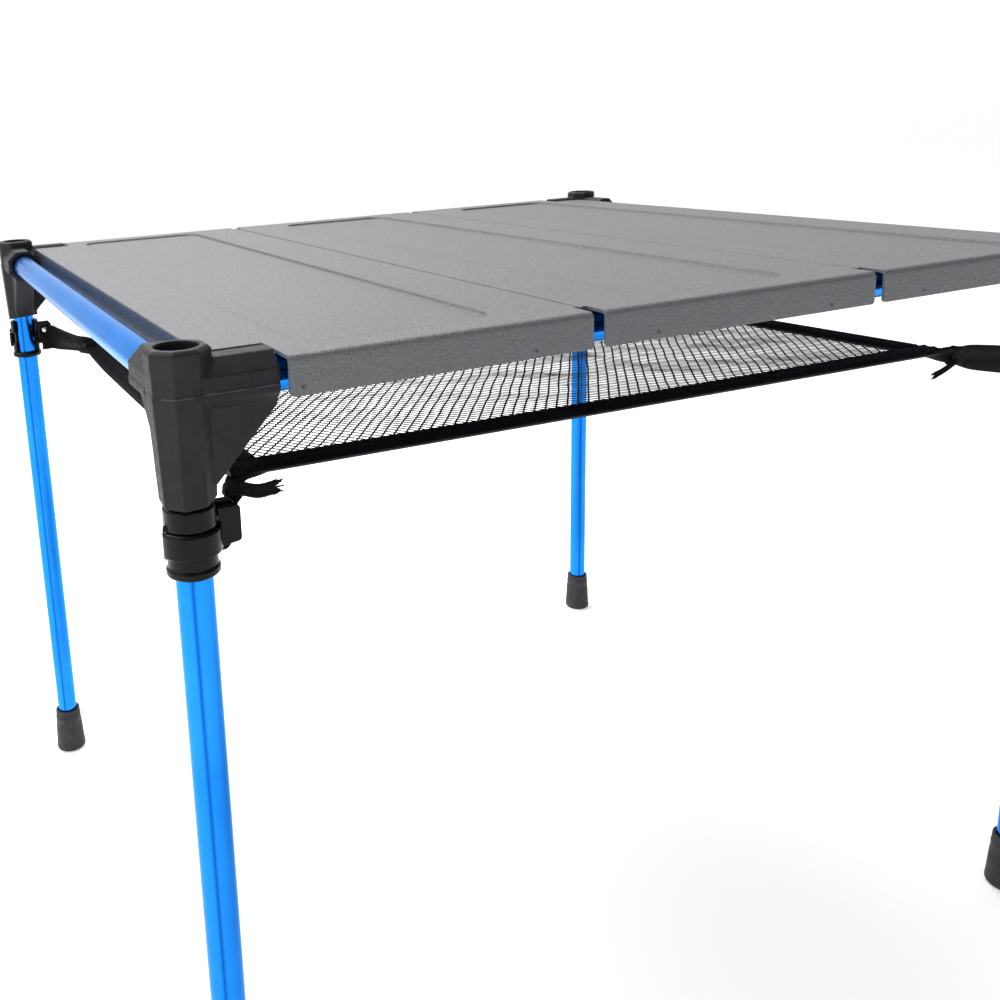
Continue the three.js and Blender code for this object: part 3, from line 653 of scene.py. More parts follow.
lever_shape = bmesh.new()
band_foot, band_top = lever_low.z, groove_top - 0.3 * MM
band_rim = 0.9 * MM
add_sector(lever_shape, [
    (BAND_IN, band_foot), (BAND_OUT - band_rim, band_foot), (BAND_OUT, band_foot + band_rim),
    (BAND_OUT, band_top - band_rim), (BAND_OUT - band_rim, band_top), (BAND_IN, band_top),
], PIN_ANGLE, BAND_END, near_leg, 80)
add_bar(lever_shape, BAND_THICKNESS / 2, BAND_THICKNESS / 2, band_foot, band_top, pin_place)
wing_top, wing_tip = lever_high.z, lever_high.x + 0.8 * MM
wing_root = near_leg.x + UPPER_R + 0.35 * MM
top_round = rounded_corner(
    (wing_tip - WING_ROUND, wing_top - WING_ROUND), WING_ROUND, 90, 0, 6,
)
foot_round = rounded_corner(
    (wing_tip - WING_ROUND, wing_top - WING_TIP_HEIGHT + WING_ROUND * 0.2), WING_ROUND, 0, -68, 6,
)
add_plate(
    lever_shape,
    [(wing_root, wing_top)] + top_round + foot_round + [(wing_root, wing_top - WING_ROOT_HEIGHT)],
    near_leg.y - WING_HALF, near_leg.y + WING_HALF,
)
lever_mesh = moulded("lever_moulding", lever_shape, COLLAR_VOXEL, 4, 0.45)


def bright_steel():
    """Plain bright steel with a fine turned grain."""
    finish, tree, shader = blank_finish("bright_steel")
    shader.inputs["Metallic"].default_value = 1.0
    tree.links.new(
        tint(tree, grain(tree, 200, 3), (0.55, 0.56, 0.58), (0.72, 0.73, 0.74)),
        shader.inputs["Base Color"],
    )
    tree.links.new(spread(tree, grain(tree, 2500, 2), 0.18, 0.34), shader.inputs["Roughness"])
    return finish


steel_finish = bright_steel()
pin_low, pin_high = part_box("lever_pin_front_left")
pin_r = 0.6 * MM
pin_mesh = turned_mesh("lever_pin", [
    (0, pin_low.z), (pin_r * 0.7, pin_low.z), (pin_r, pin_low.z + 0.2 * MM),
    (pin_r, pin_high.z - 0.2 * MM), (pin_r * 0.7, pin_high.z), (0, pin_high.z),
], 24, closed=False)
pin_mesh.transform(Matrix.Translation((pin_place.x, pin_place.y, 0)))
for corner in CORNERS:
    for piece, mesh, finish, slot, body in (
        ("collar", collar_mesh, clamp_finish, "clamp_plastic", "root"),
        ("lever", lever_mesh, clamp_finish, "clamp_plastic", f"lever_{corner}"),
        ("lever_pin", pin_mesh, steel_finish, "steel", "root"),
    ):
        name = f"{piece}_{corner}_shaped"
        fit(name, mirrored_to(mesh, corner, name), finish, body, slot, f"{piece}_{corner}")

# ---------------------------------------------------------------------------------------
# Panels. Pressed aluminium sheet, powder coated grey: one folded skin with a shallow sunk
# field, lips front and back, side flanges, relief notches at the bends and small dimples.
SHEET = 1.5
BEND = 2.6
SIDE_BEND = 1.0
FIELD_DEPTH = 1.3
FIELD_INSET_X = 37.0
FIELD_INSET_Y = 18.2
FIELD_CORNER = 9.0
FIELD_SLOPE = 0.9
RELIEF_WIDTH = 2.6
RELIEF_DEPTH = 13.0
DIMPLE_FROM_SIDE = 29.6
DIMPLE_DROP = 11.5
DIMPLE_R = 1.4
DIMPLE_DEPTH = 0.9
CORNER_ROUND = 1.6
ARM_CUT_X, ARM_CUT_Y = 24.4, 26.3
FLANGE_END, FLANGE_DROP = 23.7, 9.8
CREASE_REACH = 1.5


def powder_coat():
    """Grey powder coat: a fine pebbled skin, small changes of tone, shaded in its creases."""
    finish, tree, shader = blank_finish("grey_powder_coat")
    cloud = grain(tree, 9, 3)
    speck = grain(tree, 1500, 2)
    base = tint(tree, speck, (0.070, 0.073, 0.079), (0.118, 0.122, 0.129), 0.25, 0.75)
    clouded = tint(tree, cloud, (0.94, 0.94, 0.95), (1.0, 1.0, 1.0))
    grey = mixed(tree, 1.0, base, clouded, "MULTIPLY")
    shadow = spread(tree, marked(tree, "crease"), 0.0, 0.9, 0.0, 1.0)
    tree.links.new(
        mixed(tree, shadow, grey, (0.016, 0.016, 0.018)), shader.inputs["Base Color"],
    )
    tree.links.new(spread(tree, grain(tree, 700, 2), 0.40, 0.56), shader.inputs["Roughness"])
    pebbles = add_node(tree, "ShaderNodeTexVoronoi", Scale=950, feature="SMOOTH_F1")
    place = add_node(tree, "ShaderNodeTexCoord")
    tree.links.new(place.outputs["Object"], pebbles.inputs["Vector"])
    skin = add_node(tree, "ShaderNodeMath", operation="ADD")
    tree.links.new(pebbles.outputs["Distance"], skin.inputs[0])
    tree.links.new(grain(tree, 1100, 3), skin.inputs[1])
    relief(tree, shader, skin.outputs["Value"], 0.00030, 0.8)
    return finish


def ladder(*stretches):
    """Increasing positions from stretches of (start, end, step), ends included once."""
    marks = []
    for start, end, step in stretches:
        count = max(1, round((end - start) / step))
        marks += [start + (end - start) * i / count for i in range(count + 1)]
    marks.sort()
    return [m for i, m in enumerate(marks) if i == 0 or m - marks[i - 1] > 0.05]


def field_inside(x, y, width, half_depth):
    """How far a point lies inside the edge of the pressed field."""
    half_x = width / 2 - FIELD_INSET_X
    half_y = half_depth - FIELD_INSET_Y
    out_x = max(abs(x - width / 2) - half_x + FIELD_CORNER, 0)
    out_y = max(abs(y) - half_y + FIELD_CORNER, 0)
    return FIELD_CORNER - math.hypot(out_x, out_y)


def field_drop(x, y, width, half_depth):
    """How far the pressed field lies under the panel's top at a point."""
    inside = field_inside(x, y, width, half_depth)
    share = min(max(inside / FIELD_SLOPE + 0.5, 0), 1)
    return FIELD_DEPTH * share * share * (3 - 2 * share)


def rounded_off(across, along, radius):
    """Moves a point near a square corner onto a round one: distances from the two edges."""
    if across >= radius or along >= radius:
        return across, along
    p, q = min((radius - across) / radius, 1), min((radius - along) / radius, 1)
    return (
        radius - radius * p * math.sqrt(1 - q * q / 2),
        radius - radius * q * math.sqrt(1 - p * p / 2),
    )


def panel_mesh(name, node, left_outer, right_outer):
    """One panel, as a folded skin given its thickness. An outer side clears the hubs' arms."""
    low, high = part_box(node)
    width = (high.x - low.x) / MM
    half_depth = (high.y - low.y) / 2 / MM
    lip = (high.z - low.z) / MM
    arm_end = half_depth - ARM_CUT_Y
    flange_end = half_depth - FLANGE_END

    # Rows run over the fold, from the front lip's edge to the back lip's edge.
    lip_marks = ladder(
        (BEND, DIMPLE_DROP - 2.2, 1.6), (DIMPLE_DROP - 2.2, DIMPLE_DROP + 2.2, 0.37),
        (DIMPLE_DROP + 2.2, lip, 0.55),
    )
    flat = half_depth - BEND
    field_edge = half_depth - FIELD_INSET_Y
    top_marks = ladder(
        (0, field_edge - FIELD_CORNER - 2, 12),
        (field_edge - FIELD_CORNER - 2, field_edge + 1.2, 0.6), (field_edge + 1.2, flat, 2.2),
        (arm_end - 0.01, arm_end, 1), (flange_end - 0.01, flange_end, 1),
        (half_depth - RELIEF_DEPTH - 0.01, half_depth - RELIEF_DEPTH, 1),
    )
    arc = [90 * i / 6 for i in range(1, 6)]
    half_rows = [("top", m) for m in top_marks]
    half_rows += [("bend", a) for a in arc]
    half_rows += [("lip", m) for m in lip_marks]
    rows = [(kind, m, -1) for kind, m in reversed(half_rows)]
    rows += [(kind, m, 1) for kind, m in half_rows[1:]]

    # Columns run across: the left flange, the left bend, the flat top and the right side.
    flange_marks = ladder((SIDE_BEND, FLANGE_DROP, 1.8))
    side_cols = [("flange", m) for m in reversed(flange_marks)]
    side_cols += [("side_bend", a) for a in (67.5, 45, 22.5)]
    top_cols = ladder(
        (SIDE_BEND, RELIEF_WIDTH, 0.8), (RELIEF_WIDTH, RELIEF_WIDTH + 2.4, 0.5),
        (RELIEF_WIDTH + 2.4, ARM_CUT_X - 0.4, 4.5), (ARM_CUT_X, ARM_CUT_X + 2.4, 0.5),
        (DIMPLE_FROM_SIDE - 2.2, DIMPLE_FROM_SIDE + 2.2, 0.37),
        (FIELD_INSET_X - 1.2, FIELD_INSET_X + FIELD_CORNER + 2, 0.6),
        (FIELD_INSET_X + FIELD_CORNER + 2, width / 2, 7),
    )
    left = side_cols + [("flat", m) for m in top_cols]
    cols = [(kind, m, -1) for kind, m in left] + [(kind, m, 1) for kind, m in reversed(left[:-1])]

    def place(row, col):
        kind, mark, end = row
        column, across, side = col
        x_in = across if column == "flat" else SIDE_BEND - SIDE_BEND * math.sin(math.radians(across))
        sunk = 0.0
        if column == "side_bend":
            sunk = SIDE_BEND - SIDE_BEND * math.cos(math.radians(across))
        if column == "flange":
            x_in, sunk = 0.0, across
        if kind == "top":
            y, z = mark, -sunk
            if column == "flat":
                z -= field_drop(x_in, mark, width, half_depth)
        elif kind == "bend":
            y = flat + BEND * math.sin(math.radians(mark))
            z = -BEND + BEND * math.cos(math.radians(mark))
        else:
            y, z = half_depth, -mark
            outer = left_outer if side < 0 else right_outer
            edge = ARM_CUT_X if outer else RELIEF_WIDTH
            a, b = rounded_off(x_in - edge, lip - mark, CORNER_ROUND)
            if x_in - edge >= 0:
                x_in, z = edge + a, -(lip - b)
            off = math.hypot(x_in - DIMPLE_FROM_SIDE, -z - DIMPLE_DROP) / DIMPLE_R
            if off < 1:
                y -= DIMPLE_DEPTH * (0.5 + 0.5 * math.cos(math.pi * off))
        x = x_in if side < 0 else width - x_in
        return (low.x + x * MM, (low.y + high.y) / 2 + end * y * MM, high.z + z * MM)

    def solid(row_a, row_b, col_a, col_b):
        """Whether the sheet covers the cell between two rows and two columns."""
        kinds = {row_a[0], row_b[0]}
        side = col_a[2] if col_a[2] == col_b[2] else 1
        outer = left_outer if side < 0 else right_outer
        across = max(c[1] if c[0] == "flat" else 0.0 for c in (col_a, col_b))
        folded = {col_a[0], col_b[0]} - {"flat"}
        if kinds != {"top"}:
            edge = ARM_CUT_X if outer else RELIEF_WIDTH
            return not folded and across > edge + 0.01
        reach = (row_a[1] + row_b[1]) / 2
        if outer and reach > arm_end and (folded or across <= ARM_CUT_X + 0.01):
            return False
        if reach > half_depth - RELIEF_DEPTH and (folded or across <= RELIEF_WIDTH + 0.01):
            return False
        if "flange" in folded and reach > min(flange_end, arm_end if outer else flange_end):
            return False
        return True

    shape = bmesh.new()
    grid = [[shape.verts.new(place(row, col)) for col in cols] for row in rows]
    for i in range(len(rows) - 1):
        for j in range(len(cols) - 1):
            if solid(rows[i], rows[i + 1], cols[j], cols[j + 1]):
                shape.faces.new((grid[i][j], grid[i][j + 1], grid[i + 1][j + 1], grid[i + 1][j]))
    loose = [v for v in shape.verts if not v.link_faces]
    bmesh.ops.delete(shape, geom=loose, context="VERTS")
    mesh = bpy.data.meshes.new(name)
    shape.to_mesh(mesh)
    shape.free()
    work = bpy.data.objects.new(name + "_work", mesh)
    bpy.context.scene.collection.objects.link(work)
    wall = work.modifiers.new("wall", "SOLIDIFY")
    wall.thickness = SHEET * MM
    wall.offset = -1
    edge = work.modifiers.new("broken_edge", "BEVEL")
    edge.width = 0.22 * MM
    edge.segments = 2
    edge.limit_method = "ANGLE"
    edge.angle_limit = math.radians(55)
    bpy.context.view_layer.update()
    finished = bpy.data.meshes.new_from_object(
        work.evaluated_get(bpy.context.evaluated_depsgraph_get()),
    )
    finished.name = name
    bpy.data.objects.remove(work)

    # The field's edge and the folded sides by the seams are shaded darker in the coat itself,
    # so that they read as thin dark lines.
    crease = finished.attributes.new("crease", "FLOAT", "POINT")
    for vertex in finished.vertices:
        x = (vertex.co.x - low.x) / MM
        y = (vertex.co.y - (low.y + high.y) / 2) / MM
        sunk = (high.z - vertex.co.z) / MM
        from_edge = abs(field_inside(x, y, width, half_depth))
        value = max(0.0, 1 - from_edge / CREASE_REACH) if sunk < 2 else 0.0
        if abs(y) < half_depth - BEND and min(x, width - x) < SIDE_BEND and sunk > 0.12:
            value = 1.0
        crease.data[vertex.index].value = value
    smooth_mesh(finished, 45)
    return finished


coat = powder_coat()
for name, left_outer, right_outer in (
    ("left", True, False), ("middle", False, False), ("right", False, True),
):
    node = f"panel_{name}"
    fit(
        f"{node}_pressed", panel_mesh(f"{node}_pressed", node, left_outer, right_outer),
        coat, node, "powder_coat", node,
    )

# ---------------------------------------------------------------------------------------
# Shelf net. Black knotless netting on the bias, hung a little slack in its hem: strong yarns
# slant one way and fine ones the other. They are laid out on a unit square, then moved to
# the shelf's four corners by the node tree. Each set: spacing, sideways slant and radius.
SHELF = {
    "front_left": corner_point("front_left", 21, 14, 50),
    "front_right": corner_point("front_right", 83, 10, 54),
    "back_left": corner_point("back_left", 28, 70, 60),
    "back_right": corner_point("back_right", 88, 70, 60),
}
SAG = 3.0
SLACK = 3.2
YARN_STEPS = 110
STRONG = (5.9, 0.78, 0.47)
FINE = (4.1, -0.62, 0.26)
HEM_WIDTH = 16.0
HEM_LAP = 5.0
shelf_length = (SHELF["front_right"] - SHELF["front_left"]).length / MM
shelf_depth = (SHELF["back_left"] - SHELF["front_left"]).length / MM


def shelf_point(u, v, lift=0.0):
    """A point on the shelf: u from left to right, v from front to back."""
    front = SHELF["front_left"].lerp(SHELF["front_right"], u)
    back = SHELF["back_left"].lerp(SHELF["back_right"], u)
    point = front.lerp(back, v)
    point.z -= (SAG * 16 * u * (1 - u) * v * (1 - v) - lift) * MM
    return point


def netting():
    """Black twisted yarn."""
    finish, tree, shader = blank_finish("black_netting")
    tree.links.new(
        tint(tree, grain(tree, 900, 3), (0.002, 0.002, 0.0022), (0.007, 0.007, 0.008)),
        shader.inputs["Base Color"],
    )
    shader.inputs["Roughness"].default_value = 0.75
    shader.inputs["Specular IOR Level"].default_value = 0.2
    relief(tree, shader, grain(tree, 5000, 2), 0.00008, 0.6)
    return finish


def net_tree(finish):
    """The netting: two sets of slanting yarns on a unit square, moved to the shelf."""
    tree = bpy.data.node_groups.new("shelf_netting", "GeometryNodeTree")
    face = tree.interface
    for name, kind in (
        ("Strong Yarns", "NodeSocketInt"), ("Strong Gap", "NodeSocketFloat"),
        ("Strong Slant", "NodeSocketFloat"), ("Strong Radius", "NodeSocketFloat"),
        ("Fine Yarns", "NodeSocketInt"), ("Fine Gap", "NodeSocketFloat"),
        ("Fine Slant", "NodeSocketFloat"), ("Fine Radius", "NodeSocketFloat"),
        ("Steps", "NodeSocketInt"), ("Sag", "NodeSocketFloat"), ("Slack", "NodeSocketFloat"),
        ("Front Left", "NodeSocketVector"), ("Front Right", "NodeSocketVector"),
        ("Back Left", "NodeSocketVector"), ("Back Right", "NodeSocketVector"),
    ):
        face.new_socket(name=name, in_out="INPUT", socket_type=kind)
    face.new_socket(name="Geometry", in_out="OUTPUT", socket_type="NodeSocketGeometry")
    link = tree.links.new
    given = tree.nodes.new("NodeGroupInput").outputs

    def feed(socket, value):
        if isinstance(value, (int, float)):
            socket.default_value = value
        else:
            link(value, socket)

    def maths(operation, a, b=0.0):
        node = tree.nodes.new("ShaderNodeMath")
        node.operation = operation
        feed(node.inputs[0], a)
        feed(node.inputs[1], b)
        return node.outputs[0]

    def vector(x, y, z):
        node = tree.nodes.new("ShaderNodeCombineXYZ")
        for socket, value in zip(node.inputs, (x, y, z)):
            feed(socket, value)
        return node.outputs[0]

    def blend(operation, a, b):
        node = tree.nodes.new("ShaderNodeVectorMath")
        node.operation = operation
        link(a, node.inputs[0])
        if operation == "SCALE":
            feed(node.inputs["Scale"], b)
        else:
            link(b, node.inputs[1])
        return node.outputs[0]

    def between(a, b, share):
        return blend("ADD", a, blend("SCALE", blend("SUBTRACT", b, a), share))

    def placed(geometry, position):
        node = tree.nodes.new("GeometryNodeSetPosition")
        link(geometry, node.inputs["Geometry"])
        link(position, node.inputs["Position"])
        return node.outputs[0]

    here = tree.nodes.new("GeometryNodeInputPosition").outputs[0]
    parts = tree.nodes.new("ShaderNodeSeparateXYZ")
    link(here, parts.inputs[0])
    u, v = parts.outputs[0], parts.outputs[1]

    # From the unit square to the shelf, with its sag and the yarns' own small wander.
    flat = between(
        between(given["Front Left"], given["Front Right"], u),
        between(given["Back Left"], given["Back Right"], u), v,
    )
    inner = maths("MULTIPLY", maths("MULTIPLY", u, maths("SUBTRACT", 1.0, u)),
                  maths("MULTIPLY", v, maths("SUBTRACT", 1.0, v)))
    belly = maths("MULTIPLY", inner, 16.0)
    noise = tree.nodes.new("ShaderNodeTexNoise")
    noise.inputs["Scale"].default_value = 26.0
    noise.inputs["Detail"].default_value = 2.0
    link(flat, noise.inputs["Vector"])
    middle = tree.nodes.new("ShaderNodeCombineXYZ")
    for socket in middle.inputs:
        socket.default_value = 0.5
    wander = blend("SUBTRACT", noise.outputs["Color"], middle.outputs[0])
    loose = blend("SCALE", wander, maths("MULTIPLY", maths("POWER", belly, 0.35), given["Slack"]))
    hang = vector(0.0, 0.0, maths("MULTIPLY", maths("MULTIPLY", belly, -1.0), given["Sag"]))
    on_shelf = blend("ADD", blend("ADD", flat, loose), hang)

    def yarns(kind):
        """One set: a line of steps, repeated, slanted, cut to the square and given body."""
        slant = given[kind + " Slant"]
        line = tree.nodes.new("GeometryNodeMeshLine")
        link(maths("ADD", given["Steps"], 1.0), line.inputs["Count"])
        link(vector(0.0, maths("DIVIDE", 1.0, given["Steps"]), 0.0), line.inputs["Offset"])
        marks = tree.nodes.new("GeometryNodeMeshLine")
        link(given[kind + " Yarns"], marks.inputs["Count"])
        first = maths("MINIMUM", maths("MULTIPLY", slant, -1.0), 0.0)
        link(vector(first, 0.0, 0.0), marks.inputs["Start Location"])
        link(vector(given[kind + " Gap"], 0.0, 0.0), marks.inputs["Offset"])
        copies = tree.nodes.new("GeometryNodeInstanceOnPoints")
        link(marks.outputs[0], copies.inputs["Points"])
        link(line.outputs[0], copies.inputs["Instance"])
        real = tree.nodes.new("GeometryNodeRealizeInstances")
        link(copies.outputs[0], real.inputs[0])
        slanted = placed(real.outputs[0], vector(maths("ADD", u, maths("MULTIPLY", v, slant)), v, 0.0))
        trim = tree.nodes.new("GeometryNodeDeleteGeometry")
        trim.domain = "POINT"
        link(slanted, trim.inputs["Geometry"])
        outside = maths("GREATER_THAN", maths("ABSOLUTE", maths("SUBTRACT", u, 0.5)), 0.5)
        link(outside, trim.inputs["Selection"])
        path = tree.nodes.new("GeometryNodeMeshToCurve")
        link(placed(trim.outputs[0], on_shelf), path.inputs[0])
        ring = tree.nodes.new("GeometryNodeCurvePrimitiveCircle")
        ring.inputs["Resolution"].default_value = 4
        link(given[kind + " Radius"], ring.inputs["Radius"])
        body = tree.nodes.new("GeometryNodeCurveToMesh")
        link(path.outputs[0], body.inputs["Curve"])
        link(ring.outputs[0], body.inputs["Profile Curve"])
        body.inputs["Fill Caps"].default_value = True
        return body.outputs[0]

    both = tree.nodes.new("GeometryNodeJoinGeometry")
    link(yarns("Strong"), both.inputs[0])
    link(yarns("Fine"), both.inputs[0])
    real = tree.nodes.new("GeometryNodeRealizeInstances")
    link(both.outputs[0], real.inputs[0])
    paint = tree.nodes.new("GeometryNodeSetMaterial")
    paint.inputs["Material"].default_value = finish
    link(real.outputs[0], paint.inputs[0])
    out = tree.nodes.new("NodeGroupOutput")
    link(paint.outputs[0], out.inputs[0])
    return tree


def grown(name, tree, values, mesh=None):
    """Runs a node tree on a mesh, or on nothing, and gives back a plain mesh."""
    start = mesh or bpy.data.meshes.new(name + "_start")
    work = bpy.data.objects.new(name + "_work", start)
    bpy.context.scene.collection.objects.link(work)
    grow = work.modifiers.new("grow", "NODES")
    grow.node_group = tree
    for item in tree.interface.items_tree:
        if item.in_out == "INPUT" and item.name in values:
            grow[item.identifier] = values[item.name]
    bpy.context.view_layer.update()
    finished = bpy.data.meshes.new_from_object(
        work.evaluated_get(bpy.context.evaluated_depsgraph_get()),
    )
    finished.name = name
    work.modifiers.clear()
    bpy.data.objects.remove(work)
    return finished


net_finish = netting()
inset_u = (HEM_WIDTH - HEM_LAP) / shelf_length
inset_v = (HEM_WIDTH - HEM_LAP) / shelf_depth
net_length = shelf_length * (1 - 2 * inset_u)
net_depth = shelf_depth * (1 - 2 * inset_v)
yarn_values = {}
for kind, (gap, slant, radius) in (("Strong", STRONG), ("Fine", FINE)):
    sideways = slant * net_depth / net_length
    yarn_values[kind + " Gap"] = gap / net_length
    yarn_values[kind + " Slant"] = sideways
    yarn_values[kind + " Yarns"] = math.ceil((1 + abs(sideways)) * net_length / gap)
    yarn_values[kind + " Radius"] = radius * MM
net_mesh = grown("net_strands", net_tree(net_finish), {
    **yarn_values,
    "Steps": YARN_STEPS,
    "Sag": SAG * MM,
    "Slack": SLACK * MM,
    "Front Left": shelf_point(inset_u, inset_v),
    "Front Right": shelf_point(1 - inset_u, inset_v),
    "Back Left": shelf_point(inset_u, 1 - inset_v),
    "Back Right": shelf_point(1 - inset_u, 1 - inset_v),
})
smooth_mesh(net_mesh, 80)
net = fit("net_strands", net_mesh, net_finish, "root", "netting", "net")

# ---------------------------------------------------------------------------------------
# Hems. Black webbing folded over the net's edge and sewn down: three ribs run along it and
# a row of stitches lies in each groove.
RIBS = 3
RIB_HEIGHT = 0.8
HEM_LEAN = 42
HEM_STEPS = 60
STITCH_GAP, STITCH_LENGTH, THREAD_R = 3.0 * MM, 1.15 * MM, 0.28 * MM
HEM_BODY = 0.85


def webbing():
    """Black woven tape: cross ribs along the piece's own length, with a soft nap."""
    finish, tree, shader = blank_finish("black_webbing")
    place = add_node(tree, "ShaderNodeTexCoord")
    weave = add_node(tree, "ShaderNodeTexWave", Scale=0.42, Distortion=1.2, Detail=1.0)
    weave.inputs["Detail Scale"].default_value = 2.0
    turn = add_node(tree, "ShaderNodeMapping")
    turn.inputs["Scale"].default_value = (1000, 1000, 1000)
    tree.links.new(place.outputs["UV"], turn.inputs["Vector"])
    tree.links.new(turn.outputs["Vector"], weave.inputs["Vector"])
    tree.links.new(
        tint(tree, grain(tree, 350, 4), (0.002, 0.002, 0.0022), (0.007, 0.007, 0.0075)),
        shader.inputs["Base Color"],
    )
    tree.links.new(spread(tree, weave.outputs["Fac"], 0.62, 0.85, 0, 1), shader.inputs["Roughness"])
    shader.inputs["Specular IOR Level"].default_value = 0.12
    relief(tree, shader, weave.outputs["Fac"], 0.00022, 0.7)
    return finish


def tape_mesh(name, path, across, sections):
    """A tape swept along points. At each point, across gives the width direction and the
    section gives pairs of distance across and height, in metres, right round the tape."""
    shape = bmesh.new()
    uv = shape.loops.layers.uv.new("tape")
    count = len(sections[0])
    girth = [0.0]
    for i in range(count):
        a, b = Vector(sections[0][i]), Vector(sections[0][(i + 1) % count])
        girth.append(girth[-1] + (b - a).length)
    rings, runs = [], [0.0]
    for i, point in enumerate(path):
        ahead_of = path[min(i + 1, len(path) - 1)] - path[max(i - 1, 0)]
        side = across[i].normalized()
        up = side.cross(ahead_of).normalized()
        rings.append([shape.verts.new(point + side * a + up * b) for a, b in sections[i]])
        if i:
            runs.append(runs[-1] + (path[i] - path[i - 1]).length)
    for i in range(len(path) - 1):
        for j in range(count):
            k = (j + 1) % count
            face = shape.faces.new((rings[i][j], rings[i][k], rings[i + 1][k], rings[i + 1][j]))
            corners = (
                (runs[i], girth[j]), (runs[i], girth[j + 1]),
                (runs[i + 1], girth[j + 1]), (runs[i + 1], girth[j]),
            )
            for loop, corner in zip(face.loops, corners):
                loop[uv].uv = corner
    shape.faces.new(rings[0])
    shape.faces.new(rings[-1])
    bmesh.ops.recalc_face_normals(shape, faces=shape.faces)
    mesh = bpy.data.meshes.new(name)
    shape.to_mesh(mesh)
    shape.free()
    smooth_mesh(mesh, 60)
    return mesh


def ribbed_section(width, body, ribs, rib):
    """Right round a ribbed tape: the ribbed face, the rounded edge and the flat back."""
    steps = ribs * 8
    face = []
    for i in range(steps + 1):
        share = i / steps
        edge = min(1.0, 6 * min(share, 1 - share) + 0.25)
        height = body * edge + rib * abs(math.sin(math.pi * ribs * share)) * edge
        face.append(((share - 0.5) * width * MM, height * MM))
    back = [(x, -h) for x, h in reversed(face[::4])]
    return face + back


def stitch_tree(finish):
    """A row of stitches: small lozenges of thread, set along a path at an even spacing."""
    tree = bpy.data.node_groups.new("stitch_row", "GeometryNodeTree")
    face = tree.interface
    face.new_socket(name="Path", in_out="INPUT", socket_type="NodeSocketGeometry")
    for name in ("Spacing", "Stitch Length", "Thread Radius"):
        face.new_socket(name=name, in_out="INPUT", socket_type="NodeSocketFloat")
    face.new_socket(name="Geometry", in_out="OUTPUT", socket_type="NodeSocketGeometry")
    link = tree.links.new
    given = tree.nodes.new("NodeGroupInput").outputs
    line = tree.nodes.new("GeometryNodeMeshToCurve")
    link(given["Path"], line.inputs[0])
    marks = tree.nodes.new("GeometryNodeCurveToPoints")
    marks.mode = "LENGTH"
    link(line.outputs[0], marks.inputs["Curve"])
    link(given["Spacing"], marks.inputs["Length"])
    thread = tree.nodes.new("GeometryNodeMeshIcoSphere")
    thread.inputs["Radius"].default_value = 1.0
    thread.inputs["Subdivisions"].default_value = 1
    size = tree.nodes.new("ShaderNodeCombineXYZ")
    link(given["Thread Radius"], size.inputs[0])
    link(given["Thread Radius"], size.inputs[1])
    link(given["Stitch Length"], size.inputs[2])
    aim = tree.nodes.new("FunctionNodeAlignRotationToVector")
    aim.axis = "Z"
    link(marks.outputs["Tangent"], aim.inputs["Vector"])
    copies = tree.nodes.new("GeometryNodeInstanceOnPoints")
    link(marks.outputs["Points"], copies.inputs["Points"])
    link(thread.outputs["Mesh"], copies.inputs["Instance"])
    link(aim.outputs[0], copies.inputs["Rotation"])
    link(size.outputs[0], copies.inputs["Scale"])
    real = tree.nodes.new("GeometryNodeRealizeInstances")
    link(copies.outputs[0], real.inputs[0])
    paint = tree.nodes.new("GeometryNodeSetMaterial")
    paint.inputs["Material"].default_value = finish
    link(real.outputs[0], paint.inputs[0])
    out = tree.nodes.new("NodeGroupOutput")
    link(paint.outputs[0], out.inputs[0])
    return tree


def path_mesh(name, paths):
    """Open lines as a mesh of edges."""
    points, edges = [], []
    for path in paths:
        first = len(points)
        points += [tuple(p) for p in path]
        edges += [(i, i + 1) for i in range(first, len(points) - 1)]
    mesh = bpy.data.meshes.new(name)
    mesh.from_pydata(points, edges, [])
    return mesh


web_finish = webbing()
half_u, half_v = HEM_WIDTH / 2 / shelf_length, HEM_WIDTH / 2 / shelf_depth
hem_section = ribbed_section(HEM_WIDTH, HEM_BODY, RIBS, RIB_HEIGHT)
hem_lines = {
    "front": (lambda t: (t, half_v), (0, 1)),
    "back": (lambda t: (t, 1 - half_v), (0, 1)),
    "left": (lambda t: (half_u, t), (1, 0)),
    "right": (lambda t: (1 - half_u, t), (1, 0)),
}
hems, stitch_paths = [], []
for side, (where, (du, dv)) in hem_lines.items():
    shares = [i / HEM_STEPS for i in range(HEM_STEPS + 1)]
    if side in ("left", "right"):
        shares = [2 * half_v + (1 - 4 * half_v) * share for share in shares]
    path, across = [], []
    for share in shares:
        u, v = where(share)
        step_u, step_v = du * half_u, dv * half_v
        outer = shelf_point(u - step_u, v - step_v)
        inner = shelf_point(u + step_u, v + step_v)
        if side == "left":
            # Its outer edge hangs down between the corners.
            lean = math.radians(HEM_LEAN) * min(1.0, max(0.0, (v - 0.08) * 4), (1.0 - v) * 4)
            level = outer - inner
            outer = inner + level * math.cos(lean) - Vector((0, 0, level.length * math.sin(lean)))
        path.append((outer + inner) / 2)
        across.append(inner - outer)
    if side in ("left", "right"):
        across = [-direction_across for direction_across in across]
    mesh = tape_mesh(f"hem_{side}_tape", path, across, [hem_section] * len(path))
    hems.append(fit(f"hem_{side}_tape", mesh, web_finish, "root", "webbing", f"hem_{side}"))
    for groove in (-1, 1):
        offset = groove * HEM_WIDTH / RIBS / 2 * MM
        stitch_paths.append([
            point + direction_across.normalized() * offset + Vector((0, 0, (HEM_BODY + 0.1) * MM))
            for point, direction_across in zip(path, across)
        ])
stitches = grown(
    "hem_stitches", stitch_tree(web_finish),
    {"Spacing": STITCH_GAP, "Stitch Length": STITCH_LENGTH, "Thread Radius": THREAD_R},
    path_mesh("stitch_rows", stitch_paths),
)
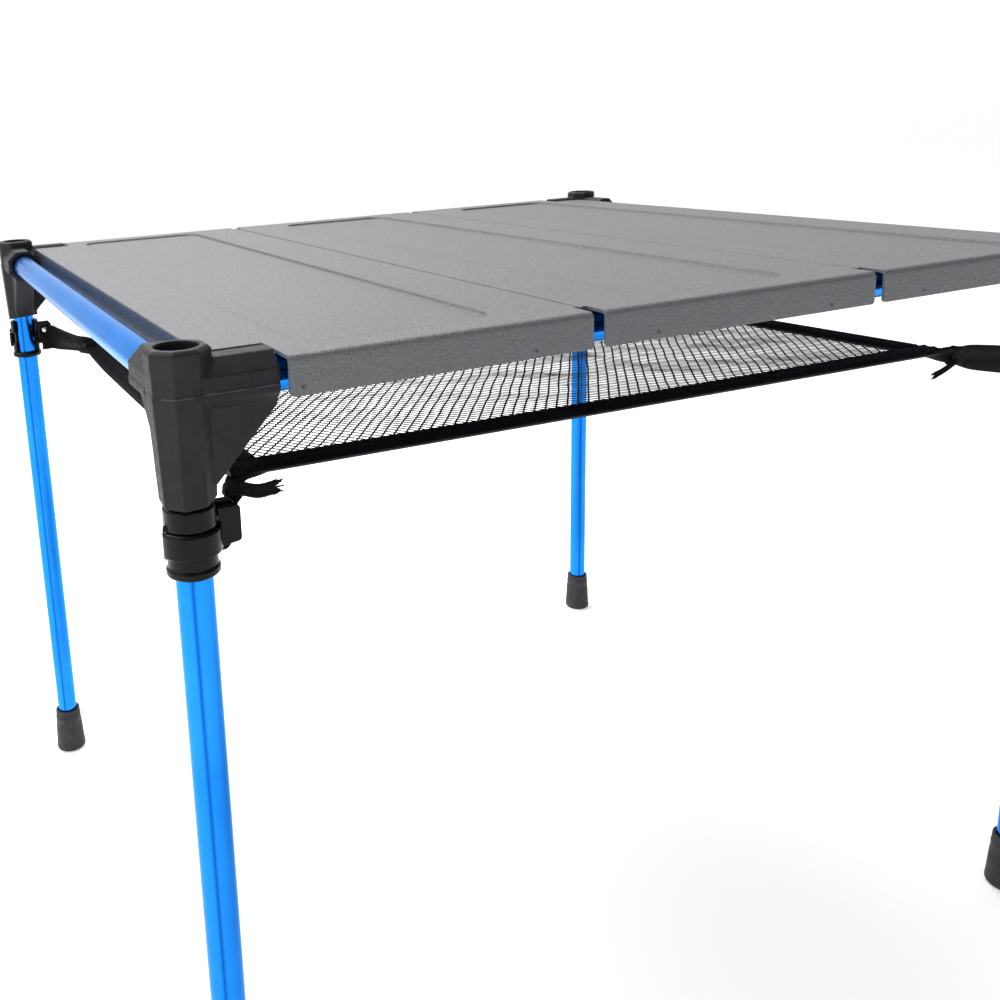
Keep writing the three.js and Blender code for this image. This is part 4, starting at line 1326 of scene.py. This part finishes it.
smooth_mesh(stitches, 80)
stitch_piece = fit("hem_stitches", stitches, web_finish, "root", "webbing")

# ---------------------------------------------------------------------------------------
# Straps. The same webbing without ribs. Each is riveted flat to its collar's ear, gathers to
# a neck at the shelf's corner, and lies flat again where it is sewn under the hems. A turn
# of tape binds each neck but the back left one, and the front ones leave a loose tail.
# Stations: inward x, inward y, drop, width and lean of the width from upright, in degrees.
STRAPS = {
    "front_left": [
        (10.6, 5.8, 66.0, 17, 0), (15.0, 5.8, 65.8, 17, 0), (18.2, 6.3, 63.5, 14.0, 12),
        (19.4, 8.0, 58.5, 9.5, 45), (20.6, 11.4, 53.8, 7.0, 70), (23.5, 15.5, 51.8, 8.5, 84),
        (29.0, 20.0, 51.6, 12, 89), (37.0, 26.0, 51.8, 15, 90),
    ],
    "front_right": [
        (10.6, 5.8, 66.0, 17, 0), (18.1, 5.9, 65.8, 17, 0), (34.0, 6.8, 64.6, 15.5, 0),
        (52.0, 8.0, 61.6, 14.6, 0), (66.0, 9.2, 59.2, 13.4, 3), (73.5, 9.8, 57.8, 11.0, 8),
        (79.5, 10.2, 56.6, 9.0, 12), (84.5, 11.5, 55.6, 10.0, 35), (91.0, 16.0, 55.4, 12, 70),
        (100.0, 23.0, 55.8, 15, 90),
    ],
    "back_left": [
        (10.6, 5.8, 66.0, 17, 0), (18.1, 6.6, 65.8, 17, 0), (20.6, 20.0, 65.2, 15.4, 0),
        (23.6, 42.0, 63.4, 12.6, 0), (26.0, 60.0, 61.8, 10.6, 4), (28.0, 69.0, 61.0, 10.4, 22),
        (30.5, 78.0, 61.2, 13, 62), (35.0, 90.0, 61.7, 15, 80),
    ],
    "back_right": [
        (10.6, 5.8, 66.0, 17, 0), (18.1, 6.2, 65.8, 17, 0), (38.0, 24.0, 64.6, 15.5, 0),
        (60.0, 44.0, 62.6, 14.0, 0), (78.0, 60.5, 61.2, 10.0, 5), (86.5, 69.0, 60.9, 7.5, 25),
        (93.0, 76.0, 61.2, 11, 75), (102.0, 85.0, 61.7, 15, 90),
    ],
}
NECKS = {"front_left": 4, "front_right": 6, "back_left": 5, "back_right": 5}
TAILS = {
    "front_left": [(17.5, 8.5, 52.2), (22.0, 5.6, 52.4), (28.0, 4.6, 54.2), (34.6, 4.2, 53.8)],
    "front_right": [(82.0, 6.4, 58.4), (87.5, 6.0, 60.6), (92.5, 5.8, 62.2), (97.6, 5.8, 63.6)],
}
TAIL_WIDTH = {"front_left": 5.4, "front_right": 3.2}
TAIL_ACROSS = Vector((0.12, 0.25, 1.0))
STRAP_HALF = 0.8
STRAP_WIDTH = 18.0
FOLD_DEPTH, FOLDS = 2.2, 1.5
EASE_STEPS = 8
GATHER = 11
WINDINGS, WINDING_STEPS, WINDING_RUN = 2.1, 56, 3.0
STRAY_YARNS = 9


def flat_section(width, half):
    """Right round a plain tape: width and half thickness, with thinned edges."""
    rim = 0.35
    corners = [
        (-width / 2, -half * rim), (-width / 2 + 0.5, -half), (width / 2 - 0.5, -half),
        (width / 2, -half * rim), (width / 2, half * rim), (width / 2 - 0.5, half),
        (-width / 2 + 0.5, half), (-width / 2, half * rim),
    ]
    return [(a * MM, b * MM) for a, b in corners]


def puckered_section(width, half, full):
    """Right round a gathered tape: the narrower it is, the deeper its lengthwise folds."""
    steps = 24
    depth = (1 - width / full) * FOLD_DEPTH
    line = []
    for i in range(steps + 1):
        share = i / steps
        line.append(((share - 0.5) * width, depth * math.sin(share * 2 * math.pi * FOLDS)))
    top = [(a * MM, (b + half) * MM) for a, b in line]
    return top + [(a * MM, (b - half) * MM) for a, b in reversed(line)]


def eased(points, steps):
    """A smooth line through listed stations, given as tuples of numbers."""
    stations = [Vector(point) for point in points]
    ends = [stations[0] * 2 - stations[1], *stations, stations[-1] * 2 - stations[-2]]
    line = []
    for i in range(1, len(ends) - 2):
        a, b, c, d = ends[i - 1:i + 3]
        for step in range(steps):
            t = step / steps
            line.append(0.5 * (
                2 * b + (c - a) * t + (2 * a - 5 * b + 4 * c - d) * t * t
                + (3 * b - a - 3 * c + d) * t * t * t
            ))
    line.append(stations[-1].copy())
    return line


for corner, (side_x, side_y) in CORNERS.items():
    stations = STRAPS[corner]
    middles = eased([station[:3] for station in stations], EASE_STEPS)
    widths = eased([(station[3], station[4]) for station in stations], EASE_STEPS)
    path = [corner_point(corner, *middle) for middle in middles]
    across, sections = [], []
    for i, (width, lean) in enumerate(widths):
        course = path[min(i + 1, len(path) - 1)] - path[max(i - 1, 0)]
        level = Vector((course.y, -course.x, 0)).normalized() * side_x * side_y
        lean = math.radians(lean)
        across.append(Vector((0, 0, 1)) * math.cos(lean) + level * math.sin(lean))
        full = STRAP_WIDTH if i < len(path) / 2 else width
        sections.append(puckered_section(width, STRAP_HALF, full))
    neck = NECKS[corner] * EASE_STEPS
    for i in range(neck - GATHER + 1, min(neck + GATHER, len(path))):
        width = widths[i][0]
        full = width + (STRAP_WIDTH - width) * max(0, 1 - abs(i - neck) / GATHER)
        sections[i] = puckered_section(width, STRAP_HALF, full)
    mesh = tape_mesh(f"strap_{corner}_tape", path, across, sections)
    fit(f"strap_{corner}_tape", mesh, web_finish, "root", "webbing", f"strap_{corner}")

    # The binding: a narrow tape wound on the neck.
    if corner == "back_left":
        continue
    centre, half_wide = path[neck], widths[neck][0] / 2 + 0.5
    course = (path[neck + 1] - path[neck - 1]).normalized()
    broad = (across[neck] - course * across[neck].dot(course)).normalized()
    thick = course.cross(broad)
    wound = []
    for i in range(WINDING_STEPS + 1):
        share = i / WINDING_STEPS
        a = 2 * math.pi * WINDINGS * share
        wound.append(
            centre + course * (share - 0.5) * WINDING_RUN * MM
            + broad * math.cos(a) * half_wide * MM + thick * math.sin(a) * 2.3 * MM
        )
    mesh = tape_mesh(
        f"binding_{corner}", wound, [course] * len(wound), [flat_section(2.6, 0.45)] * len(wound),
    )
    fit(f"binding_{corner}", mesh, web_finish, "root", "webbing")

for corner, stations in TAILS.items():
    path = [corner_point(corner, *middle) for middle in eased(stations, EASE_STEPS)]
    width = TAIL_WIDTH[corner]
    section = ribbed_section(width, 0.5, 4, 0.3)
    mesh = tape_mesh(f"tail_{corner}", path, [TAIL_ACROSS] * len(path), [section] * len(path))
    fit(f"tail_{corner}", mesh, web_finish, "root", "webbing")
    # Frayed ends: loose yarns that stand out of the cut end, each a little different.
    course = (path[-1] - path[-3]).normalized()
    for i in range(STRAY_YARNS):
        share = i / (STRAY_YARNS - 1) - 0.5
        root = path[-1] + TAIL_ACROSS * share * width * 0.92 * MM
        drift = Vector((math.sin(i * 2.1), math.cos(i * 3.7), math.sin(i * 5.3 + 1))) * 0.45
        reach = (1.6 + 1.5 * abs(math.sin(i * 1.9 + 0.4))) * MM
        yarn = [root - course * 0.6 * MM, root + course * reach * 0.5 + drift * 0.4 * MM,
                root + course * reach + drift * 1.2 * MM]
        mesh = tape_mesh(
            f"fray_{corner}_{i}", yarn, [Vector((0, 0, 1))] * 3,
            [flat_section(0.75, 0.3), flat_section(0.7, 0.26), flat_section(0.3, 0.12)],
        )
        fit(f"fray_{corner}_{i}", mesh, web_finish, "root", "webbing")

# A turned rivet with a low domed head holds each strap to its ear.
RIVET_SHANK_R, RIVET_HEAD_R, RIVET_HEAD = 0.8 * MM, 1.9 * MM, 0.9 * MM
rivet_low, rivet_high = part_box("strap_rivet_front_left")
rivet_middle = (rivet_low + rivet_high) / 2
rivet_length = rivet_high.y - rivet_low.y
rivet_mesh = turned_mesh("strap_rivet", [
    (0, 0), (RIVET_SHANK_R, 0), (RIVET_SHANK_R, rivet_length - RIVET_HEAD),
    (RIVET_HEAD_R, rivet_length - RIVET_HEAD), (RIVET_HEAD_R, rivet_length - RIVET_HEAD * 0.75),
    (RIVET_HEAD_R * 0.8, rivet_length - RIVET_HEAD * 0.3),
    (RIVET_HEAD_R * 0.4, rivet_length - 0.02 * MM), (0, rivet_length),
], 32, closed=False)
rivet_mesh.transform(
    Matrix.Translation((rivet_middle.x, rivet_low.y, rivet_middle.z))
    @ Matrix.Rotation(-math.pi / 2, 4, "X")
)
for corner in CORNERS:
    name = f"strap_rivet_{corner}_turned"
    fit(
        name, mirrored_to(rivet_mesh, corner, name), steel_finish, "root", "steel",
        f"strap_rivet_{corner}",
    )
